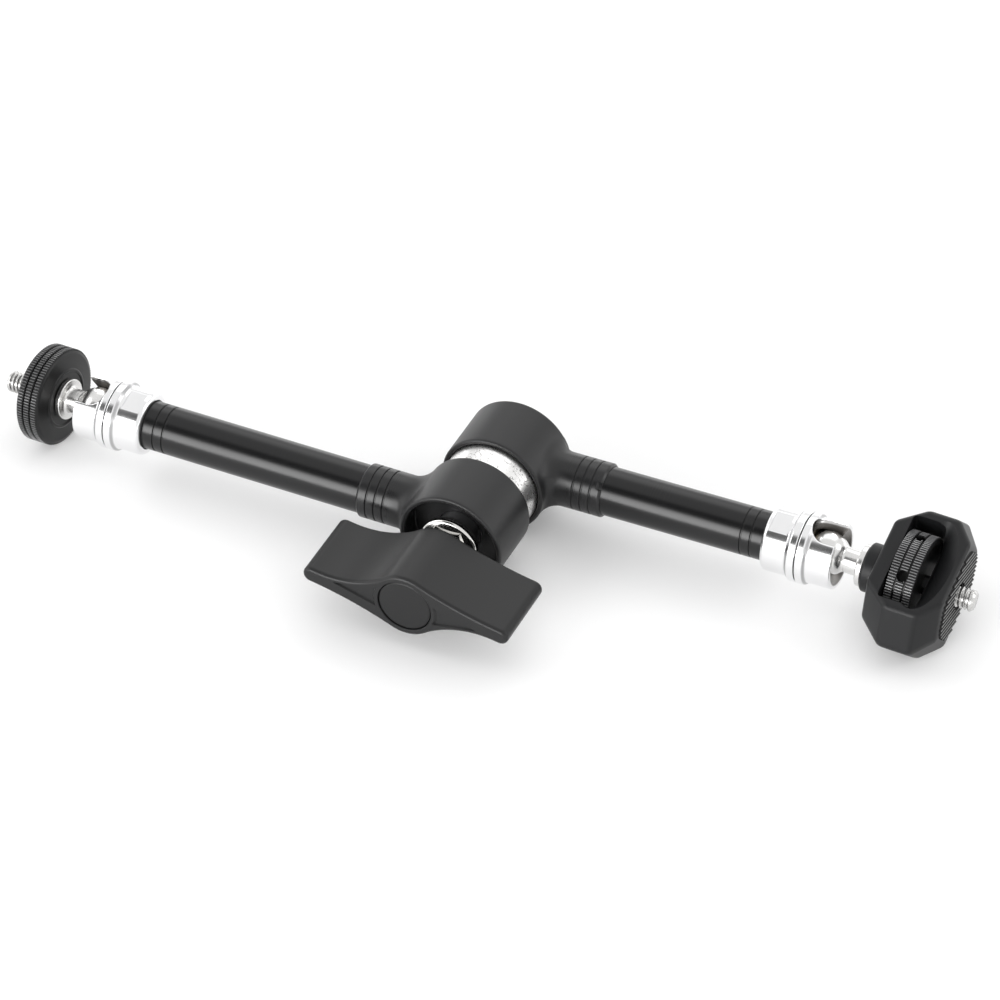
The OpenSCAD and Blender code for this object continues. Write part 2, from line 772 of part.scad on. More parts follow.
// Wing knob, two wings set like a propeller's
function half_outline(inset) = concat(
    arc(hollow_c, hollow_r + inset, towards(hollow_c, [0, 0]), towards(hollow_c, knob_tip), 12, 1),
    arc(knob_tip, knob_tip_r - inset, towards(knob_tip, hollow_c), towards(knob_tip, flank_c), 8, 1),
    arc(flank_c, flank_r + inset, towards(flank_c, knob_tip), towards(flank_c, [0, 0]), 6, 1),
    arc([0, 0], knob_hub_r - inset, towards([0, 0], flank_c), towards([0, 0], hollow_c) + 180, 10, 1));
function knob_ring(inset, z) =
    [for (turn = [0, 180], p = spun(half_outline(inset), turn)) [p.x, p.y, z]];

// The rings reach a little past both ends, and the slab between them cuts the flat faces.
module knob_body() {
    edge_rings = [for (i = [0:edge_steps]) let (a = 90 * i / edge_steps) knob_edge * [1 - sin(a), 1 - cos(a)]];
    past = concat([2 * edge_rings[0] - edge_rings[1]], [for (i = [1:edge_steps]) edge_rings[i]]);
    intersection() {
        lofted(concat(
            [for (e = past) knob_ring(e[0], e[1])],
            [for (i = [edge_steps:-1:0]) knob_ring(past[i][0], knob_depth - past[i][1])]));
        translate([-2 * knob_half_w, -2 * knob_half_w, 0]) cube([4 * knob_half_w, 4 * knob_half_w, knob_depth]);
    }
}

module knob_frame() {
    translate(part_shift + [0, -knob_front, axis_h]) rotate([0, knob_turn, 0]) rotate([-90, 0, 0])
        mirror([0, 1, 0]) children();
}

// Shallow triangle beside the cap
module wing_panel() {
    difference() {
        polygon([[cap_r - 1, panel_half], [cap_r + panel_gap, panel_half], [panel_tip, 0], [cap_r - 1, -panel_half]]);
        circle(r = cap_r + panel_gap);
    }
}

module knob() {
    color(black_metal) knob_frame() difference() {
        knob_body();
        translate([0, 0, -1]) cylinder(r = cap_r, h = cap_depth + 1);
        translate([0, 0, -1]) linear_extrude(panel_depth + 1) for (turn = [0, 180]) rotate(turn) wing_panel();
        translate([0, 0, knob_depth - nut_in_knob])
            linear_extrude(nut_in_knob + 1) circle(d = (nut_flats + 2 * eps) / cos(30), $fn = 6);
        translate([0, 0, knob_depth - nut_in_knob - 3]) cylinder(r = bolt_r + 0.5, h = 4);
    }
}

module knob_cap() {
    dome = 0.2;
    color(black_metal) knob_frame() turned(concat([[0, dome], [cap_r - cap_gap - 0.4, dome]],
        [[cap_r - cap_gap, dome + 0.4], [cap_r - cap_gap, cap_depth - eps], [0, cap_depth - eps]]));
}

// Flange nut, pressed into the back of the knob
module knob_nut() {
    color(steel) knob_frame() difference() {
        union() {
            translate([0, 0, knob_depth - nut_in_knob + eps])
                linear_extrude(knob_back - nut_face + nut_in_knob - flange_t) circle(d = nut_flats / cos(30), $fn = 6);
            translate([0, 0, knob_front - nut_face - flange_t]) cylinder(r = nut_flange_r, h = flange_t);
            translate([0, 0, knob_front - nut_face - flange_t - 1])
                cylinder(r1 = nut_flats / 2, r2 = nut_flange_r - 0.5, h = 1 + eps);
        }
        translate([0, 0, knob_depth - 2 * nut_in_knob]) cylinder(r = bolt_bore, h = knob_front);
    }
}

front_housing();
front_tube();
front_adapter();
front_snap_ring();
front_push_rod();
front_ball_seat();
front_cup();
front_ball_stud();
wheel_pad();
thumb_wheel();
thrust_washer();
front_wedge();
spreader_spring();
knob();
knob_cap();
knob_nut();
rear_housing();
friction_ring();
rear_tube();
rear_adapter();
rear_snap_ring();
rear_wedge();
tie_bolt();
rear_push_rod();
rear_ball_seat();
rear_cup();
rear_ball_stud();
stud_ring();
mount_block();
mount_pad();
mount_wheel();
mount_screw();
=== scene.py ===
import bpy
import bmesh
import json
from math import asin, cos, exp, log, pi, radians, sin, sqrt
from mathutils import Matrix, Vector

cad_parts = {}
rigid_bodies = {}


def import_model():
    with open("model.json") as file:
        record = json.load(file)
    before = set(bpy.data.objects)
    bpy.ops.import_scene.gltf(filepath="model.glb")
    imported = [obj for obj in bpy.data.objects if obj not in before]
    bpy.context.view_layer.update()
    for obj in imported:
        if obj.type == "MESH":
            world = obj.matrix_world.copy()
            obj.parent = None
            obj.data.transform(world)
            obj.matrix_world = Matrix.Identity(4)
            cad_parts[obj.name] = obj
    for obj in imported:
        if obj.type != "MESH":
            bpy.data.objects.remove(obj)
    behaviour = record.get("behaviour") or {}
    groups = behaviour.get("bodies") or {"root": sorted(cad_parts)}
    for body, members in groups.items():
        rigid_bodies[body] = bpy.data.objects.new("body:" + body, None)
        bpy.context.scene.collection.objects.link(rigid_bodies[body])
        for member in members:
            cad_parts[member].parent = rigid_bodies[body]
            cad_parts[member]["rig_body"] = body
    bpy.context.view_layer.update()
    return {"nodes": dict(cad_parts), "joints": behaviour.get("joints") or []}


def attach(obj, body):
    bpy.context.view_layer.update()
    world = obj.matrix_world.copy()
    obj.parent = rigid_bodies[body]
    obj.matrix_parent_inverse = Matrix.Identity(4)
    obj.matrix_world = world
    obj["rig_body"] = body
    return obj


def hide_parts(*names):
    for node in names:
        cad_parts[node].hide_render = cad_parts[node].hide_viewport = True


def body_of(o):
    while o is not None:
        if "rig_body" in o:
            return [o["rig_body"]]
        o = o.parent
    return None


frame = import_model()
nodes = frame["nodes"]
joints = {joint["name"]: joint for joint in frame["joints"]}

mm = 0.001


# shader maths and materials

class Wire:
    # a socket that adds Math nodes when it is used in an expression
    def __init__(self, paint, socket):
        self.paint = paint
        self.socket = socket

    def __add__(self, other):
        return self.paint.maths("ADD", self, other)

    def __sub__(self, other):
        return self.paint.maths("SUBTRACT", self, other)

    def __rsub__(self, other):
        return self.paint.maths("SUBTRACT", other, self)

    def __mul__(self, other):
        return self.paint.maths("MULTIPLY", self, other)

    def __pow__(self, other):
        return self.paint.maths("POWER", self, other)

    __radd__ = __add__
    __rmul__ = __mul__


class Shader:
    # adds nodes to a tree, with numbers or wires for their sockets
    def __init__(self, tree):
        self.tree = tree

    def node(self, kind, settings=None, sockets=None, out=0):
        made = self.tree.nodes.new(kind)
        for key, value in (settings or {}).items():
            setattr(made, key, value)
        for key, value in (sockets or {}).items():
            if isinstance(value, Wire):
                self.tree.links.new(value.socket, made.inputs[key])
            else:
                made.inputs[key].default_value = value
        return made if out is None else Wire(self, made.outputs[out])

    def maths(self, operation, a, b=0.0):
        return self.node("ShaderNodeMath", {"operation": operation}, {0: a, 1: b})

    def window(self, value, low, high):
        # 0 below low, 1 above high
        return self.node("ShaderNodeMapRange", {"interpolation_type": "SMOOTHSTEP"},
            {"Value": value, "From Min": low, "From Max": high})


class Paint(Shader):
    # one material with a Principled shader
    def __init__(self, name, colour, roughness, metallic=0.0, **sockets):
        self.material = bpy.data.materials.new(name)
        self.material.use_nodes = True
        self.tree = self.material.node_tree
        self.tree.nodes.clear()
        shader = self.tree.nodes.new("ShaderNodeBsdfPrincipled")
        self.inputs = shader.inputs
        out = self.tree.nodes.new("ShaderNodeOutputMaterial")
        self.tree.links.new(shader.outputs[0], out.inputs[0])
        self.set("Base Color", (*colour, 1))
        self.set("Roughness", roughness)
        self.set("Metallic", metallic)
        for name, value in sockets.items():
            self.set(name.replace("_", " "), value)
        self.place = self.node("ShaderNodeVectorMath", {"operation": "SCALE"},
            {0: self.node("ShaderNodeTexCoord", out="Object"), "Scale": 1000})  # millimetres

    def set(self, name, value):
        if isinstance(value, Wire):
            self.tree.links.new(value.socket, self.inputs[name])
        else:
            self.inputs[name].default_value = value

    def noise(self, size, detail=2.0, rough=0.5, where=None, distortion=0.0):
        # size is the width of a blotch in mm
        return self.node("ShaderNodeTexNoise", {}, {"Vector": where or self.place, "Scale": 1 / size,
            "Detail": detail, "Roughness": rough, "Distortion": distortion})

    def rings(self, axis, size, detail=3.0):
        # fine turned lines round an axis
        along = self.node("ShaderNodeVectorMath", {"operation": "DOT_PRODUCT"},
            {0: self.place, 1: axis}, out="Value")
        return self.node("ShaderNodeTexNoise", {"noise_dimensions": "1D"},
            {"W": along, "Scale": 1 / size, "Detail": detail})

    def fromAxis(self, place):
        # distance from a placed Z axis and height along it, in mm
        centre, axis = place.translation / mm, place.to_3x3().col[2]
        arm = self.node("ShaderNodeVectorMath", {"operation": "SUBTRACT"}, {0: self.place, 1: centre})
        across = self.node("ShaderNodeVectorMath", {"operation": "CROSS_PRODUCT"}, {0: arm, 1: axis})
        return (self.node("ShaderNodeVectorMath", {"operation": "LENGTH"}, {0: across}, out="Value"),
            self.node("ShaderNodeVectorMath", {"operation": "DOT_PRODUCT"}, {0: arm, 1: axis}, out="Value"))

    def stretched(self, scales, size, detail=2.0):
        where = self.node("ShaderNodeVectorMath", {"operation": "MULTIPLY"}, {0: self.place, 1: scales})
        return self.noise(size, detail, where=where)

    def mix(self, factor, a, b):
        pick = {0: factor, 6: a, 7: b}
        sockets = {k: v if isinstance(v, (Wire, float, int)) else (*v, 1) for k, v in pick.items()}
        return self.node("ShaderNodeMix", {"data_type": "RGBA"}, sockets, out=2)

    def bump(self, height, depth, strength=1.0):
        # depth of the relief in mm
        self.set("Normal", self.node("ShaderNodeBump", {},
            {"Strength": strength, "Distance": depth * mm, "Height": height}))


def powderCoat(name, base, rough, gloss=0.42, barrelAxis=None):
    # with a barrel's axis, the skin turns smooth where the arm's stub leaves the barrel
    paint = Paint(name, base, rough, Specular_IOR_Level=gloss)
    grain = paint.noise(0.16, 3)
    peel = paint.noise(0.7, 2)
    blotch = paint.noise(14, 3)
    skin = rough - 0.05 + blotch * 0.08 + grain * 0.05
    relief = grain * 0.5 + peel * 0.8
    if barrelAxis is not None:
        away, height = paint.fromAxis(barrelAxis)
        smooth = paint.window(away, 18, 21.5)
        lines = paint.rings((1, 0, 0), 0.12)
        skin = skin - smooth * (0.17 - lines * 0.08)
        relief = relief * (1 - smooth * 0.8) + lines * smooth * 0.25
    paint.set("Base Color", paint.mix(blotch, [c * 0.82 for c in base], [c * 1.22 for c in base]))
    paint.set("Roughness", skin)
    paint.bump(relief, 0.012, 0.55)
    return paint.material


def anodised(name, base, rough, axis, wear=0.0, gloss=0.55):
    paint = Paint(name, base, rough, Specular_IOR_Level=gloss)
    lines = paint.rings(axis, 0.09)
    blotch = paint.noise(9, 2)
    dust = paint.window(paint.noise(0.5, 4, 0.7), 0.66, 0.78)
    dark = paint.mix(lines, [c * 0.75 for c in base], [c * 1.35 for c in base])
    paint.set("Base Color", paint.mix(dust * wear, dark, [0.11, 0.11, 0.112]))
    paint.set("Roughness", rough - 0.06 + lines * 0.1 + blotch * 0.05)
    paint.bump(lines, 0.004, 0.6)
    return paint.material


def knurled(name, place, radius, crest):
    # black anodising worn off the crests of the teeth; the lighter crests are partly that wear and partly a painted
    # glint against the darker roots
    paint = Paint(name, crest, 0.26, Specular_IOR_Level=0.6)
    away, height = paint.fromAxis(place)
    patch = paint.noise(2.6, 3)
    # crest mask: real wear plus a painted glint on the crests, leaving the roots dark
    crestWearAndGlint = paint.window(away, radius - 0.16, radius - 0.03) * (0.45 + patch)
    paint.set("Base Color", paint.mix(crestWearAndGlint, (0.0025, 0.0025, 0.0027), crest))
    paint.set("Roughness", 0.6 - crestWearAndGlint * 0.36)
    paint.bump(paint.noise(0.15, 2), 0.004, 0.5)
    return paint.material


def socketAlloy(name, place, skin):
    # polished outside, darker and duller where the slot and the bore were cut, with painted shade in the corners beside
    # the seam's ridges
    paint = Paint(name, (0.9, 0.9, 0.905), 0.15, 1.0)
    away, height = paint.fromAxis(place)
    outside = paint.window(away, skin - 0.5, skin)
    lines = paint.node("ShaderNodeTexNoise", {"noise_dimensions": "1D"}, {"W": height, "Scale": 9.0, "Detail": 3.0})
    fog = paint.noise(5, 3)
    fromSeam = paint.maths("ABSOLUTE", height)
    # a band of painted shade in the corners beside the seam's ridges, which also roughens them
    cornerShade = paint.window(fromSeam, 2.1, 2.5) * (1 - paint.window(fromSeam, 2.8, 3.2))
    bright = paint.mix(fog, (0.85, 0.85, 0.855), (0.92, 0.92, 0.925))
    shine = paint.mix(cornerShade * 0.75, bright, (0.33, 0.33, 0.335))
    paint.set("Base Color", paint.mix(outside, (0.22, 0.21, 0.2), shine))
    paint.set("Roughness", 0.3 - outside * 0.18 + fog * 0.07 + lines * 0.03 + cornerShade * 0.08)
    paint.bump(lines, 0.0022, 0.5)
    return paint.material


def turnedMetal(name, base, rough, axis, lineDepth=0.0022, smudge=0.1):
    paint = Paint(name, base, rough, 1.0)
    lines = paint.rings(axis, 0.12)
    fog = paint.noise(5, 3)
    hair = paint.window(paint.stretched((1, 14, 14), 2.4, 1), 0.62, 0.66)
    paint.set("Base Color", paint.mix(fog, [c * 0.93 for c in base], [min(1, c * 1.03) for c in base]))
    paint.set("Roughness", rough - smudge / 2 + fog * smudge + lines * 0.03 + hair * 0.03)
    paint.bump(lines + hair * 0.4, lineDepth, 0.5)
    return paint.material


def scratchedRing(name, base):
    # a turned face that long use has marked with wide crinkled scratches
    paint = Paint(name, base, 0.24, 1.0)
    lines = paint.rings((0, 1, 0), 0.11)
    warp = paint.noise(2.2, 3, 0.6)
    crinkle = paint.maths("ABSOLUTE", paint.noise(4.2, 2.5, 0.6, distortion=0.9) - 0.5)
    wide = 1 - paint.window(crinkle, 0.005, 0.016)
    fine = 1 - paint.window(paint.maths("ABSOLUTE", paint.noise(2.4, 2, 0.5) - 0.47), 0.003, 0.011)
    marks = wide * paint.window(warp, 0.3, 0.42)
    paint.set("Base Color", paint.mix(marks * 0.85 + fine * 0.25, base, [0.22, 0.215, 0.21]))
    paint.set("Roughness", 0.24 + marks * 0.16 + fine * 0.08 + warp * 0.08)
    paint.bump(lines * 0.2 - marks - fine * 0.4, 0.006, 0.5)
    return paint.material


def moulded(name, base, rough):
    # satin paint over a fine spark-eroded texture
    paint = Paint(name, base, rough, Specular_IOR_Level=0.36)
    grain = paint.noise(0.11, 2)
    flow = paint.noise(20, 2)
    paint.set("Base Color", paint.mix(flow, [c * 0.85 for c in base], [c * 1.18 for c in base]))
    paint.set("Roughness", rough - 0.04 + flow * 0.06 + grain * 0.07)
    paint.bump(grain, 0.008, 0.6)
    return paint.material


def rubberSheet(name, base, place, top):
    # rubber whose ribs' tops are painted lighter as a highlight, top mm along the placed Z axis
    paint = Paint(name, base, 0.75, Specular_IOR_Level=0.35)
    away, height = paint.fromAxis(place)
    grain = paint.noise(0.25, 4, 0.7)
    dust = paint.window(paint.noise(1.6, 4, 0.65), 0.52, 0.75)
    # the ribs' tops painted lighter as a highlight, broken up by the grain
    paintedTopLight = paint.window(height, top - 0.25, top - 0.03) * (0.5 + grain * 0.5)
    paint.set("Base Color", paint.mix(paintedTopLight, paint.mix(dust * 0.2, base, (0.08, 0.078, 0.075)), (0.3, 0.3, 0.296)))
    paint.set("Roughness", 0.62 + grain * 0.24)
    paint.bump(grain, 0.03, 0.7)
    return paint.material


armAxis = (1.0, 0.0, 0.0)
elbowAxis = (0.0, 1.0, 0.0)
castColour = [0.0085, 0.0085, 0.009]
castBlack = powderCoat("castBlack", castColour, 0.4)
knobBlack = moulded("knobBlack", [0.0085, 0.0085, 0.0088], 0.35)
capBlack = moulded("capBlack", [0.0065, 0.0065, 0.0068], 0.38)
tubeBlack = anodised("tubeBlack", [0.003, 0.003, 0.0033], 0.23, armAxis, 0.0, 0.42)
wheelBlack = anodised("wheelBlack", [0.005, 0.005, 0.0053], 0.32, armAxis, 0.2, 0.3)
blockBlack = powderCoat("blockBlack", [0.0075, 0.0077, 0.0083], 0.42, 0.29)
studSteel = turnedMetal("studSteel", [0.76, 0.755, 0.745], 0.22, armAxis, 0.003)
threadSteel = turnedMetal("threadSteel", [0.6, 0.595, 0.585], 0.24, armAxis, 0.003, 0.14)
nutSteel = turnedMetal("nutSteel", [0.78, 0.77, 0.75], 0.13, elbowAxis, 0.003)
oiledSteel = turnedMetal("oiledSteel", [0.45, 0.45, 0.46], 0.3, elbowAxis, 0.004, 0.16)
brightRing = scratchedRing("brightRing", [0.86, 0.855, 0.845])
seatBrass = turnedMetal("seatBrass", [0.17, 0.145, 0.11], 0.38, armAxis, 0.004)
print("materials:", len(bpy.data.materials))


# places, all taken from the frame's joints

def placeAt(origin, along, up=(0, 0, 1)):
    # local Z runs along, local X points up
    z = Vector(along).normalized()
    x = (Vector(up) - Vector(up).dot(z) * z).normalized()
    return Matrix.Translation(Vector(origin)) @ Matrix((x, z.cross(x), z)).transposed().to_4x4()


arm = {
    "ballOut": 6.2,  # socket seam to ball centre
    "seam": 0.3,
    "blockRoll": 17.5,
    "knobTurn": 2.4,
    "knobFront": 40.2,  # elbow axis plane to the knob's front face
}
elbowAt = Vector(joints["elbow"]["pos_m"])
sides = {}
for side, stud in (("front", "wheel_turn"), ("rear", "mount_swivel")):
    ball = Vector(joints[side + "_cup_turn"]["pos_m"])
    along = Vector(joints[side + "_cup_turn"]["axis"]).normalized()
    root = Vector((elbowAt.x, ball.y, elbowAt.z))
    armPlace = placeAt(root, along)
    up = armPlace.to_3x3() @ Vector((1, 0, 0))
    sides[side] = {
        "barrel": placeAt(root, (0, 1, 0)),
        "arm": armPlace,
        "reach": (ball - root).length / mm - arm["ballOut"],
        "seam": placeAt(ball - along * arm["ballOut"] * mm, along),
        "stud": placeAt(ball, joints[stud]["axis"], up),
    }
blockPlace = sides["rear"]["stud"] @ Matrix.Rotation(radians(arm["blockRoll"]), 4, "Z")
knobTurn = radians(arm["knobTurn"])
knobPlace = Matrix.Translation(elbowAt - Vector((0, arm["knobFront"] * mm, 0))) @ Matrix(
    ((cos(knobTurn), sin(knobTurn), 0), (0, 0, -1), (-sin(knobTurn), cos(knobTurn), 0))).to_4x4()
slotTurn = {"front": radians(-(90 - 77)), "rear": radians(90 - 88)}
flatTurn = {"front": radians(-(90 - 77)), "rear": radians(16)}


# mesh helpers, all in millimetres until a piece is placed

def meshPiece(name, verts, faces, recalc=True):
    mesh = bpy.data.meshes.new(name)
    shape = bmesh.new()
    made = [shape.verts.new(v) for v in verts]
    for face in faces:
        corners = []
        for i in face:
            if made[i] not in corners:
                corners.append(made[i])
        if len(corners) > 2:
            shape.faces.new(corners)
    if recalc:
        bmesh.ops.recalc_face_normals(shape, faces=shape.faces)
    shape.to_mesh(mesh)
    shape.free()
    piece = bpy.data.objects.new(name, mesh)
    bpy.context.scene.collection.objects.link(piece)
    return piece


def eased(points, size=0.15, steps=3, closed=True):
    # rounds each corner of a line of points, with a support point on both sides
    out = []
    count = len(points)
    for i, point in enumerate(points):
        p = Vector(point)
        if not closed and i in (0, count - 1):
            out.append(tuple(p))
            continue
        before, after = Vector(points[i - 1]), Vector(points[(i + 1) % count])
        a, b = before - p, after - p
        reach = min(size, a.length * 0.42, b.length * 0.42)
        if reach < 1e-4 or a.angle(b) > radians(172):
            out.append(tuple(p))
            continue
        start, end = p + a.normalized() * reach, p + b.normalized() * reach
        if reach * 1.4 < a.length * 0.45:
            out.append(tuple(p + a.normalized() * reach * 1.5))
        for k in range(steps + 1):
            t = k / steps
            out.append(tuple((1 - t) ** 2 * start + 2 * t * (1 - t) * p + t * t * end))
        if reach * 1.4 < b.length * 0.45:
            out.append(tuple(p + b.normalized() * reach * 1.5))
    return out


def arc(centre, radius, start, end, steps=8):
    # from start to end, in degrees
    angles = [radians(start + (end - start) * i / steps) for i in range(steps + 1)]
    return [(centre[0] + radius * cos(a), centre[1] + radius * sin(a)) for a in angles]


def turned(name, profile, steps=128, closed=True):
    # revolves (radius, height) points; an open line starts and ends on the axis
    verts, rings = [], []
    for r, z in profile:
        if r < 1e-6:
            rings.append([len(verts)] * steps)
            verts.append((0, 0, z))
        else:
            rings.append(list(range(len(verts), len(verts) + steps)))
            verts.extend((r * cos(2 * pi * k / steps), r * sin(2 * pi * k / steps), z) for k in range(steps))
    pairs = list(zip(rings, rings[1:])) + ([(rings[-1], rings[0])] if closed else [])
    faces = [(a[k], a[(k + 1) % steps], b[(k + 1) % steps], b[k]) for a, b in pairs for k in range(steps)]
    return meshPiece(name, verts, faces)


def lofted(name, rings, closed=False, caps=True):
    count = len(rings[0])
    verts = [tuple(p) for ring in rings for p in ring]
    pairs = [(i, i + 1) for i in range(len(rings) - 1)] + ([(len(rings) - 1, 0)] if closed else [])
    faces = [(a * count + k, a * count + (k + 1) % count, b * count + (k + 1) % count, b * count + k)
        for a, b in pairs for k in range(count)]
    if caps and not closed:
        faces += [tuple(range(count)), tuple(range((len(rings) - 1) * count, len(rings) * count))]
    return meshPiece(name, verts, faces)


def prism(name, outline, low, high):
    return lofted(name, [[(x, y, low) for x, y in outline], [(x, y, high) for x, y in outline]])


def bake(piece):
    # modifiers into a plain mesh
    bpy.context.view_layer.update()
    made = bpy.data.meshes.new_from_object(piece.evaluated_get(bpy.context.evaluated_depsgraph_get()))
    piece.modifiers.clear()
    piece.data = made
    return piece


def cut(piece, *tools, how="DIFFERENCE"):
    for tool in tools:
        change = piece.modifiers.new("cut", "BOOLEAN")
        change.operation, change.solver, change.object = how, "EXACT", tool
    bake(piece)
    for tool in tools:
        bpy.data.objects.remove(tool)
    return piece


def broken(piece, width, angle=50, segments=3):
    # a fine round on every edge that is sharper than angle
    change = piece.modifiers.new("round", "BEVEL")
    change.width, change.segments = width, segments
    change.limit_method, change.angle_limit = "ANGLE", radians(angle)
    change.use_clamp_overlap = False
    return bake(piece)


def moved(piece, matrix):
    piece.data.transform(matrix)
    return piece


def turnedBy(piece, angle, axis="Z"):
    return moved(piece, Matrix.Rotation(angle, 4, axis))


def finish(piece, place, body, material, slot, *stands, sharp=38, weigh=False):
    # shades, places, paints and hangs a piece on its body
    if place is not None:
        piece.data.transform(place @ Matrix.Scale(mm, 4))
    for face in piece.data.polygons:
        face.use_smooth = True
    piece.data.set_sharp_from_angle(angle=radians(sharp))
    if weigh:
        change = piece.modifiers.new("weigh", "WEIGHTED_NORMAL")
        change.keep_sharp = True
        bake(piece)
    piece.data.materials.clear()
    piece.data.materials.append(material)
    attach(piece, body)
    if stands:
        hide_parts(*stands)
    return piece


# geometry node trees

class Tree:
    # a Geometry Nodes tree with named number inputs
    def __init__(self, name, **numbers):
        self.group = bpy.data.node_groups.new(name, "GeometryNodeTree")
        self.group.interface.new_socket("Geometry", in_out="INPUT", socket_type="NodeSocketGeometry")
        self.ids = {}
        for key, value in numbers.items():
            kind = "NodeSocketInt" if isinstance(value, int) else "NodeSocketFloat"
            socket = self.group.interface.new_socket(key, in_out="INPUT", socket_type=kind)
            socket.default_value = value
            self.ids[key] = socket.identifier
        socket = self.group.interface.new_socket("Material", in_out="INPUT", socket_type="NodeSocketMaterial")
        self.ids["Material"] = socket.identifier
        self.group.interface.new_socket("Geometry", in_out="OUTPUT", socket_type="NodeSocketGeometry")
        self.given = self.group.nodes.new("NodeGroupInput")

    def input(self, key):
        return Wire(self, self.given.outputs[key])

    def node(self, kind, settings=None, sockets=None, out=0):
        made = self.group.nodes.new(kind)
        for key, value in (settings or {}).items():
            setattr(made, key, value)
        for key, value in (sockets or {}).items():
            if isinstance(value, Wire):
                self.group.links.new(value.socket, made.inputs[key])
            else:
                made.inputs[key].default_value = value
        return Wire(self, made.outputs[out])

    def maths(self, operation, a, b=0.0):
        return self.node("ShaderNodeMath", {"operation": operation}, {0: a, 1: b})

    def close(self, geometry):
        real = self.node("GeometryNodeRealizeInstances", {}, {0: geometry})
        dressed = self.node("GeometryNodeSetMaterial", {}, {0: real, "Material": self.input("Material")})
        out = self.group.nodes.new("NodeGroupOutput")
        self.group.links.new(dressed.socket, out.inputs[0])
        return self

    def grow(self, name, material, start=None, **numbers):
        # one plain mesh from the tree
        piece = start or meshPiece(name, [(0, 0, 0)], [])
        change = piece.modifiers.new("grow", "NODES")
        change.node_group = self.group
        for key, value in numbers.items():
            change[self.ids[key]] = value
        change[self.ids["Material"]] = material
        return bake(piece)


def wrappedGrid(tree, columns, rows):
    # a grid that a rule wraps round Z: returns it with its turn in radians and its height from 0 to 1
    grid = tree.node("GeometryNodeMeshGrid", {}, {"Size X": 1.0, "Size Y": 1.0, "Vertices X": columns, "Vertices Y": rows})
    place = tree.node("GeometryNodeInputPosition")
    split = tree.group.nodes.new("ShaderNodeSeparateXYZ")
    tree.group.links.new(place.socket, split.inputs[0])
    turn = (Wire(tree, split.outputs[0]) + 0.5) * (2 * pi)
    return grid, turn, Wire(tree, split.outputs[1]) + 0.5


def wrapped(tree, grid, turn, radius, height):
    spot = tree.node("ShaderNodeCombineXYZ", {}, {0: tree.maths("COSINE", turn) * radius,
        1: tree.maths("SINE", turn) * radius, 2: height})
    bent = tree.node("GeometryNodeSetPosition", {}, {"Geometry": grid, "Position": spot})
    return tree.node("GeometryNodeMergeByDistance", {}, {"Geometry": bent, "Distance": 0.0004})


def knurlTree():
    # straight-knurled bands side by side, every tooth with a flat crest
    tree = Tree("knurledBands", Radius=14.3, Inner=12.0, Length=2.0, Depth=0.3, Ease=0.15, Pitch=2.5, Teeth=108, Bands=3)
    columns = tree.input("Teeth") * 4 + 1
    grid, turn, along = wrappedGrid(tree, columns, 8)
    away = tree.maths("ABSOLUTE", along - 0.5) * 2
    phase = tree.maths("FRACT", turn * tree.input("Teeth") * (0.5 / pi) + 0.01)
    root = tree.maths("GREATER_THAN", phase, 0.385) * tree.maths("LESS_THAN", phase, 0.885)
    skin = tree.maths("LESS_THAN", away, 0.57)
    radius = skin * (tree.input("Radius") - root * tree.input("Depth")
        - tree.maths("GREATER_THAN", away, 0.29) * tree.input("Ease")) + (1 - skin) * tree.input("Inner")
    half = tree.input("Length") * 0.5 - tree.maths("LESS_THAN", away, 0.29) * tree.input("Ease")
    half = half * tree.maths("LESS_THAN", away, 0.86)
    height = tree.input("Length") * 0.5 + tree.maths("SIGN", along - 0.5) * half
    band = wrapped(tree, grid, turn, radius, height)
    step = tree.node("ShaderNodeCombineXYZ", {}, {2: tree.input("Pitch")})
    row = tree.node("GeometryNodeMeshLine", {}, {"Count": tree.input("Bands"), "Offset": step})
    return tree.close(tree.node("GeometryNodeInstanceOnPoints", {}, {"Points": row, "Instance": band}))


def threadTree():
    # a screw thread with a plain eased tip
    tree = Tree("screwThread", Radius=3.175, Depth=0.62, Pitch=1.27, Length=10.0, Plain=0.9, Tip=0.5, Columns=49, Rows=160)
    grid, turn, along = wrappedGrid(tree, tree.input("Columns"), tree.input("Rows"))
    height = along * tree.input("Length")
    wave = tree.maths("FRACT", tree.maths("DIVIDE", height, tree.input("Pitch")) - turn * (0.5 / pi) + 64)
    flank = tree.maths("ABSOLUTE", wave - 0.5) * 2.7 - 0.5
    flank = tree.maths("MINIMUM", tree.maths("MAXIMUM", flank, 0.0), 1.0)
    left = tree.input("Length") - height
    fade = tree.node("ShaderNodeMapRange", {}, {"Value": left, "From Min": tree.input("Plain"),
        "From Max": tree.input("Plain") + 0.5, "To Min": 0.25, "To Max": 1.0})
    cutIn = (1 - flank) * tree.input("Depth") * fade
    ease = tree.maths("MAXIMUM", tree.input("Tip") - left, 0.0)
    inside = tree.maths("GREATER_THAN", along, 0.0005) * tree.maths("LESS_THAN", along, 0.9995)
    radius = (tree.input("Radius") - tree.maths("MAXIMUM", cutIn, ease * 0.8)) * inside
    return tree.close(wrapped(tree, grid, turn, radius, height))


